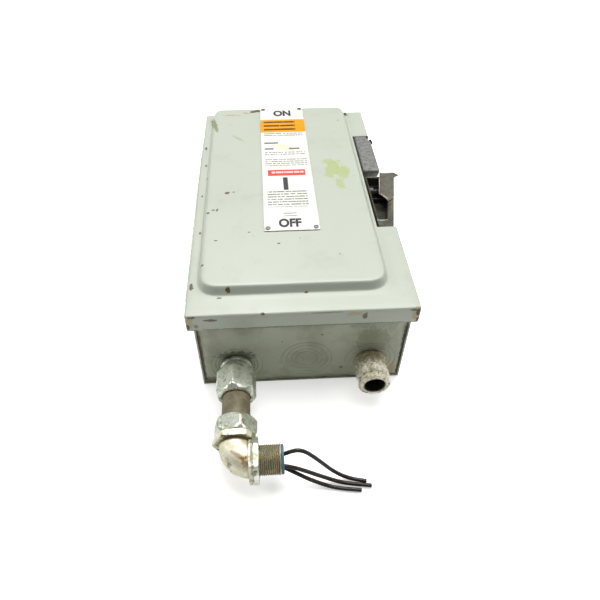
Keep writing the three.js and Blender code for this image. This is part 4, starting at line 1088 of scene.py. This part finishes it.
turned("throat_bush", linerProfile, "x", sideways, 72, linerBlue, ("throat_liner",))
print("left fitting screwed up")

# right fitting: a pitted casting with a lobed nut and an open mouth
stubSet = dict(centre=(68.3, 28.5), lobes=8, lobe=0.7, lobed=(-209.4, -199.8), stud=1.1, studWide=0.13,
               studs=np.radians([24, 58, 84, 112, 146, 205, 300]))


def lumpy(amplitude, size, seed, lobes=0, lobeDepth=0.0, low=0.0, high=0.0):
    # radius plus seeded waves, and a cosine of the angle for the lobes between two heights
    def change(radius, height, angle):
        points = np.stack([radius * np.cos(angle), height, radius * np.sin(angle)], -1)
        outer = radius > 10.6
        inside = np.clip((height - low) / 0.9, 0, 1) * np.clip((high - height) / 0.9, 0, 1) if lobes else 0
        lobe = inside * lobeDepth * np.cos(lobes * angle)
        return radius + outer * wobble(points, amplitude, size, seed) + outer * lobe
    return change


def studs(radius, height, angle):
    # small raised lugs round the flange
    bump = 0
    for a in stubSet["studs"]:
        apart = np.angle(np.exp(1j * (angle - a))) / stubSet["studWide"]
        bump = bump + np.exp(-apart ** 2) * (0.55 + 0.45 * np.sin(height * 2.1 + 5 * a))
    flangeOnly = (radius > 13.0) * (height < -187.0) * (height > -198)
    return lumpy(0.34, 3.4, 31)(radius, height, angle) + stubSet["stud"] * bump * flangeOnly


hubProfile = roundOff([(9.4, -176), (11, -176), (11, -185.5), (15.2, -185.5), (15.2, -189.4), (13.4, -190.6)],
                      [0.2, 0.2, 0.2, 1.0, 1.2, 0.6], 6).tolist()
hubProfile += alongHeight(13.4, -191.0, -198.6, 20) + [(13.1, -199.0), (11.7, -199.0)]
hubProfile += alongHeight(11.7, -199.7, -208.6, 8) + [(9.4, -209.0)]
turned("cast_hub", hubProfile, "y", stubSet["centre"], 144, whiteCast, ("stub_connector",), studs,
       sharp=44)
crownProfile = roundOff([(12.1, -199.4), (15.0, -199.4), (15.6, -200.4), (15.6, -207.4), (14.9, -208.8),
                         (13.7, -209.6)], [0.2, 0.7, 0.7, 0.9, 0.7, 0.4], 5).tolist()
mouthProfile = roundOff([(13.9, -211.6), (15.3, -212.6), (15.5, -216.4), (13.6, -217.2), (10.4, -217.2)],
                        [0.3, 0.6, 1.2, 0.9, 0.4], 6)[6:].tolist()
crownProfile += alongHeight(13.6, -210.0, -211.0, 3) + mouthProfile
crownProfile += alongHeight(9.9, -216.4, -209.6, 8) + [(12.1, -209.4), (12.1, -204)]
turned("cast_crown", crownProfile, "y", stubSet["centre"], 192, whiteCast, ("stub_nut",),
       lumpy(0.3, 3.0, 33, stubSet["lobes"], stubSet["lobe"], *stubSet["lobed"]), sharp=50)
print("right fitting cast")

# cartridge fuses: paper tube between ferrules with turned-in rims
fuseSet = dict(x=[-52, -6, 40], z=32.0, radius=10.3, top=-7.0, bottom=-134.0, cap=17.0, inset=0.5, proud=0.12)
f = fuseSet
low, high, capEnd = f["bottom"], f["top"], f["bottom"] + f["cap"]
ferrule = roundOff([(0.01, low), (f["radius"], low), (f["radius"], capEnd),
                    (f["radius"] - f["inset"], capEnd + 0.3)], [0, 1.2, 0.4, 0.1], 6).tolist()
farFerrule = [(r, low + high - y) for r, y in ferrule[::-1]]
barrel = alongHeight(f["radius"] - f["inset"], capEnd + 1, high - f["cap"] - 1, 20)
for number, x in enumerate(f["x"], 1):
    turned(f"fuse_body_{number}", ferrule + barrel + farFerrule, "y", (x, f["z"]), 64, fibreTan,
           (f"cartridge_fuse_{number}",))
    for end, (y0, y1) in enumerate(((low + 0.8, capEnd - 0.4), (high - f["cap"] + 0.4, high - 0.8)), 1):
        inside, outside = f["radius"] - 0.3, f["radius"] + f["proud"]
        band = roundOff([(inside, y0), (outside, y0), (outside, y1), (inside, y1)], 0.1, 3)
        turned(f"fuse_ferrule_{number}_{end}", band, "y", (x, f["z"]), 64, copperPlate)

# hardware and the working parts keep their CAD form, with eased edges
poles = (1, 2, 3)
hardware = [
    (["hinge_box_leaf"], zincPlate, "enclosure", "zinc_plated", 0.2),
    (["hinge_cover_leaf"], zincPlate, "cover", "zinc_plated", 0.2),
    (["crossbar_bearing_left", "crossbar_bearing_right"], darkSteel, "enclosure", "dull_steel", 0.4),
    (["line_base", "fuse_base"], phenolicBlack, "enclosure", "phenolic", 0.6),
    (["crossbar"], phenolicBlack, "blade_bar", "phenolic", 0.3),
    ([f"moving_blade_{i}" for i in poles], copperPlate, "blade_bar", "copper", 0.3),
    (["line_shield"], fibreTan, "enclosure", "fibre", 0.3),
    (["operating_crank"], darkSteel, "handle", "dull_steel", 0.3),
    (["drive_link"], darkSteel, "drive_link", "dull_steel", 0.3),
    (["ground_lug"], zincPlate, "enclosure", "zinc_plated", 0.3),
    ([f"{kind}_{i}" for kind in ("line_terminal", "upper_fuse_clip", "load_terminal") for i in poles],
     copperPlate, "enclosure", "copper", 0.25),
    (["connector_locknut", "stub_locknut"], zincPlate, "enclosure", "zinc_plated", 0.3),
]
for nodes, material, body, slotName, ease in hardware:
    for node in nodes:
        eased(node, material, body, ease)
kept = {"hinge_pin": darkSteel, "cover_latch_spring": darkSteel, "cover_gasket": foamRubber,
        "shaft_bushing": copperPlate, "torsion_spring": darkSteel}
for node, material in kept.items():
    for socket in cadNodes[node].material_slots:
        socket.material = material
print("hardware finished")

# pale floor, brighter to the camera than to the object
floorSet = dict(half=12.0, level=-0.0004, colour=(0.9, 0.9, 0.89, 1), roughness=0.9, specular=0.1, glow=0.5)
floorMesh = bpy.data.meshes.new("floor")
floorMesh.from_pydata([(x * floorSet["half"], y * floorSet["half"], floorSet["level"])
                       for x, y in ((-1, -1), (1, -1), (1, 1), (-1, 1))], [], [(0, 1, 2, 3)])
floorPaint = bpy.data.materials.new("floor_paint")
floorPaint.use_nodes = True
floorTree = floorPaint.node_tree
floorShader = floorTree.nodes["Principled BSDF"]
for label, value in (("Base Color", floorSet["colour"]), ("Roughness", floorSet["roughness"]),
                     ("Specular IOR Level", floorSet["specular"]), ("Emission Color", (1, 1, 1, 1))):
    floorShader.inputs[label].default_value = value
seen = put(floorTree, "LightPath").outputs["Is Camera Ray"]
glow = maths(floorTree, "MULTIPLY", seen, floorSet["glow"])
floorTree.links.new(glow, floorShader.inputs["Emission Strength"])
floorMesh.materials.append(floorPaint)
floor = bpy.data.objects.new("floor", floorMesh)
bpy.context.scene.collection.objects.link(floor)

# soft studio light: name, place, size and power of each lamp
studio = dict(sky=0.17, aim=(0.0, -0.05, 0.05), lamps=[
    ("lamp_top", (0.2, 0.6, 2.1), 1.8, 58.0), ("lamp_left", (-1.7, 0.3, 1.0), 0.8, 10.0),
    ("lamp_right", (1.7, 0.1, 0.9), 0.8, 8.0)])
world = bpy.data.worlds.new("studio")
world.use_nodes = True
world.node_tree.nodes["Background"].inputs[0].default_value = (1, 1, 1, 1)
world.node_tree.nodes["Background"].inputs[1].default_value = studio["sky"]
bpy.context.scene.world = world
for name, spot, size, power in studio["lamps"]:
    lampData = bpy.data.lights.new(name, "AREA")
    lampData.shape = "SQUARE"
    lampData.size = size
    lampData.energy = power
    lamp = bpy.data.objects.new(name, lampData)
    bpy.context.scene.collection.objects.link(lamp)
    lamp.location = spot
    aim = np.array(studio["aim"]) - np.array(spot)
    tilt, swing = math.acos(-aim[2] / np.linalg.norm(aim)), math.atan2(aim[1], aim[0]) - math.pi / 2
    lamp.rotation_euler = (tilt, 0, swing)
bpy.context.scene.view_settings.view_transform = "Standard"
print("studio lit")
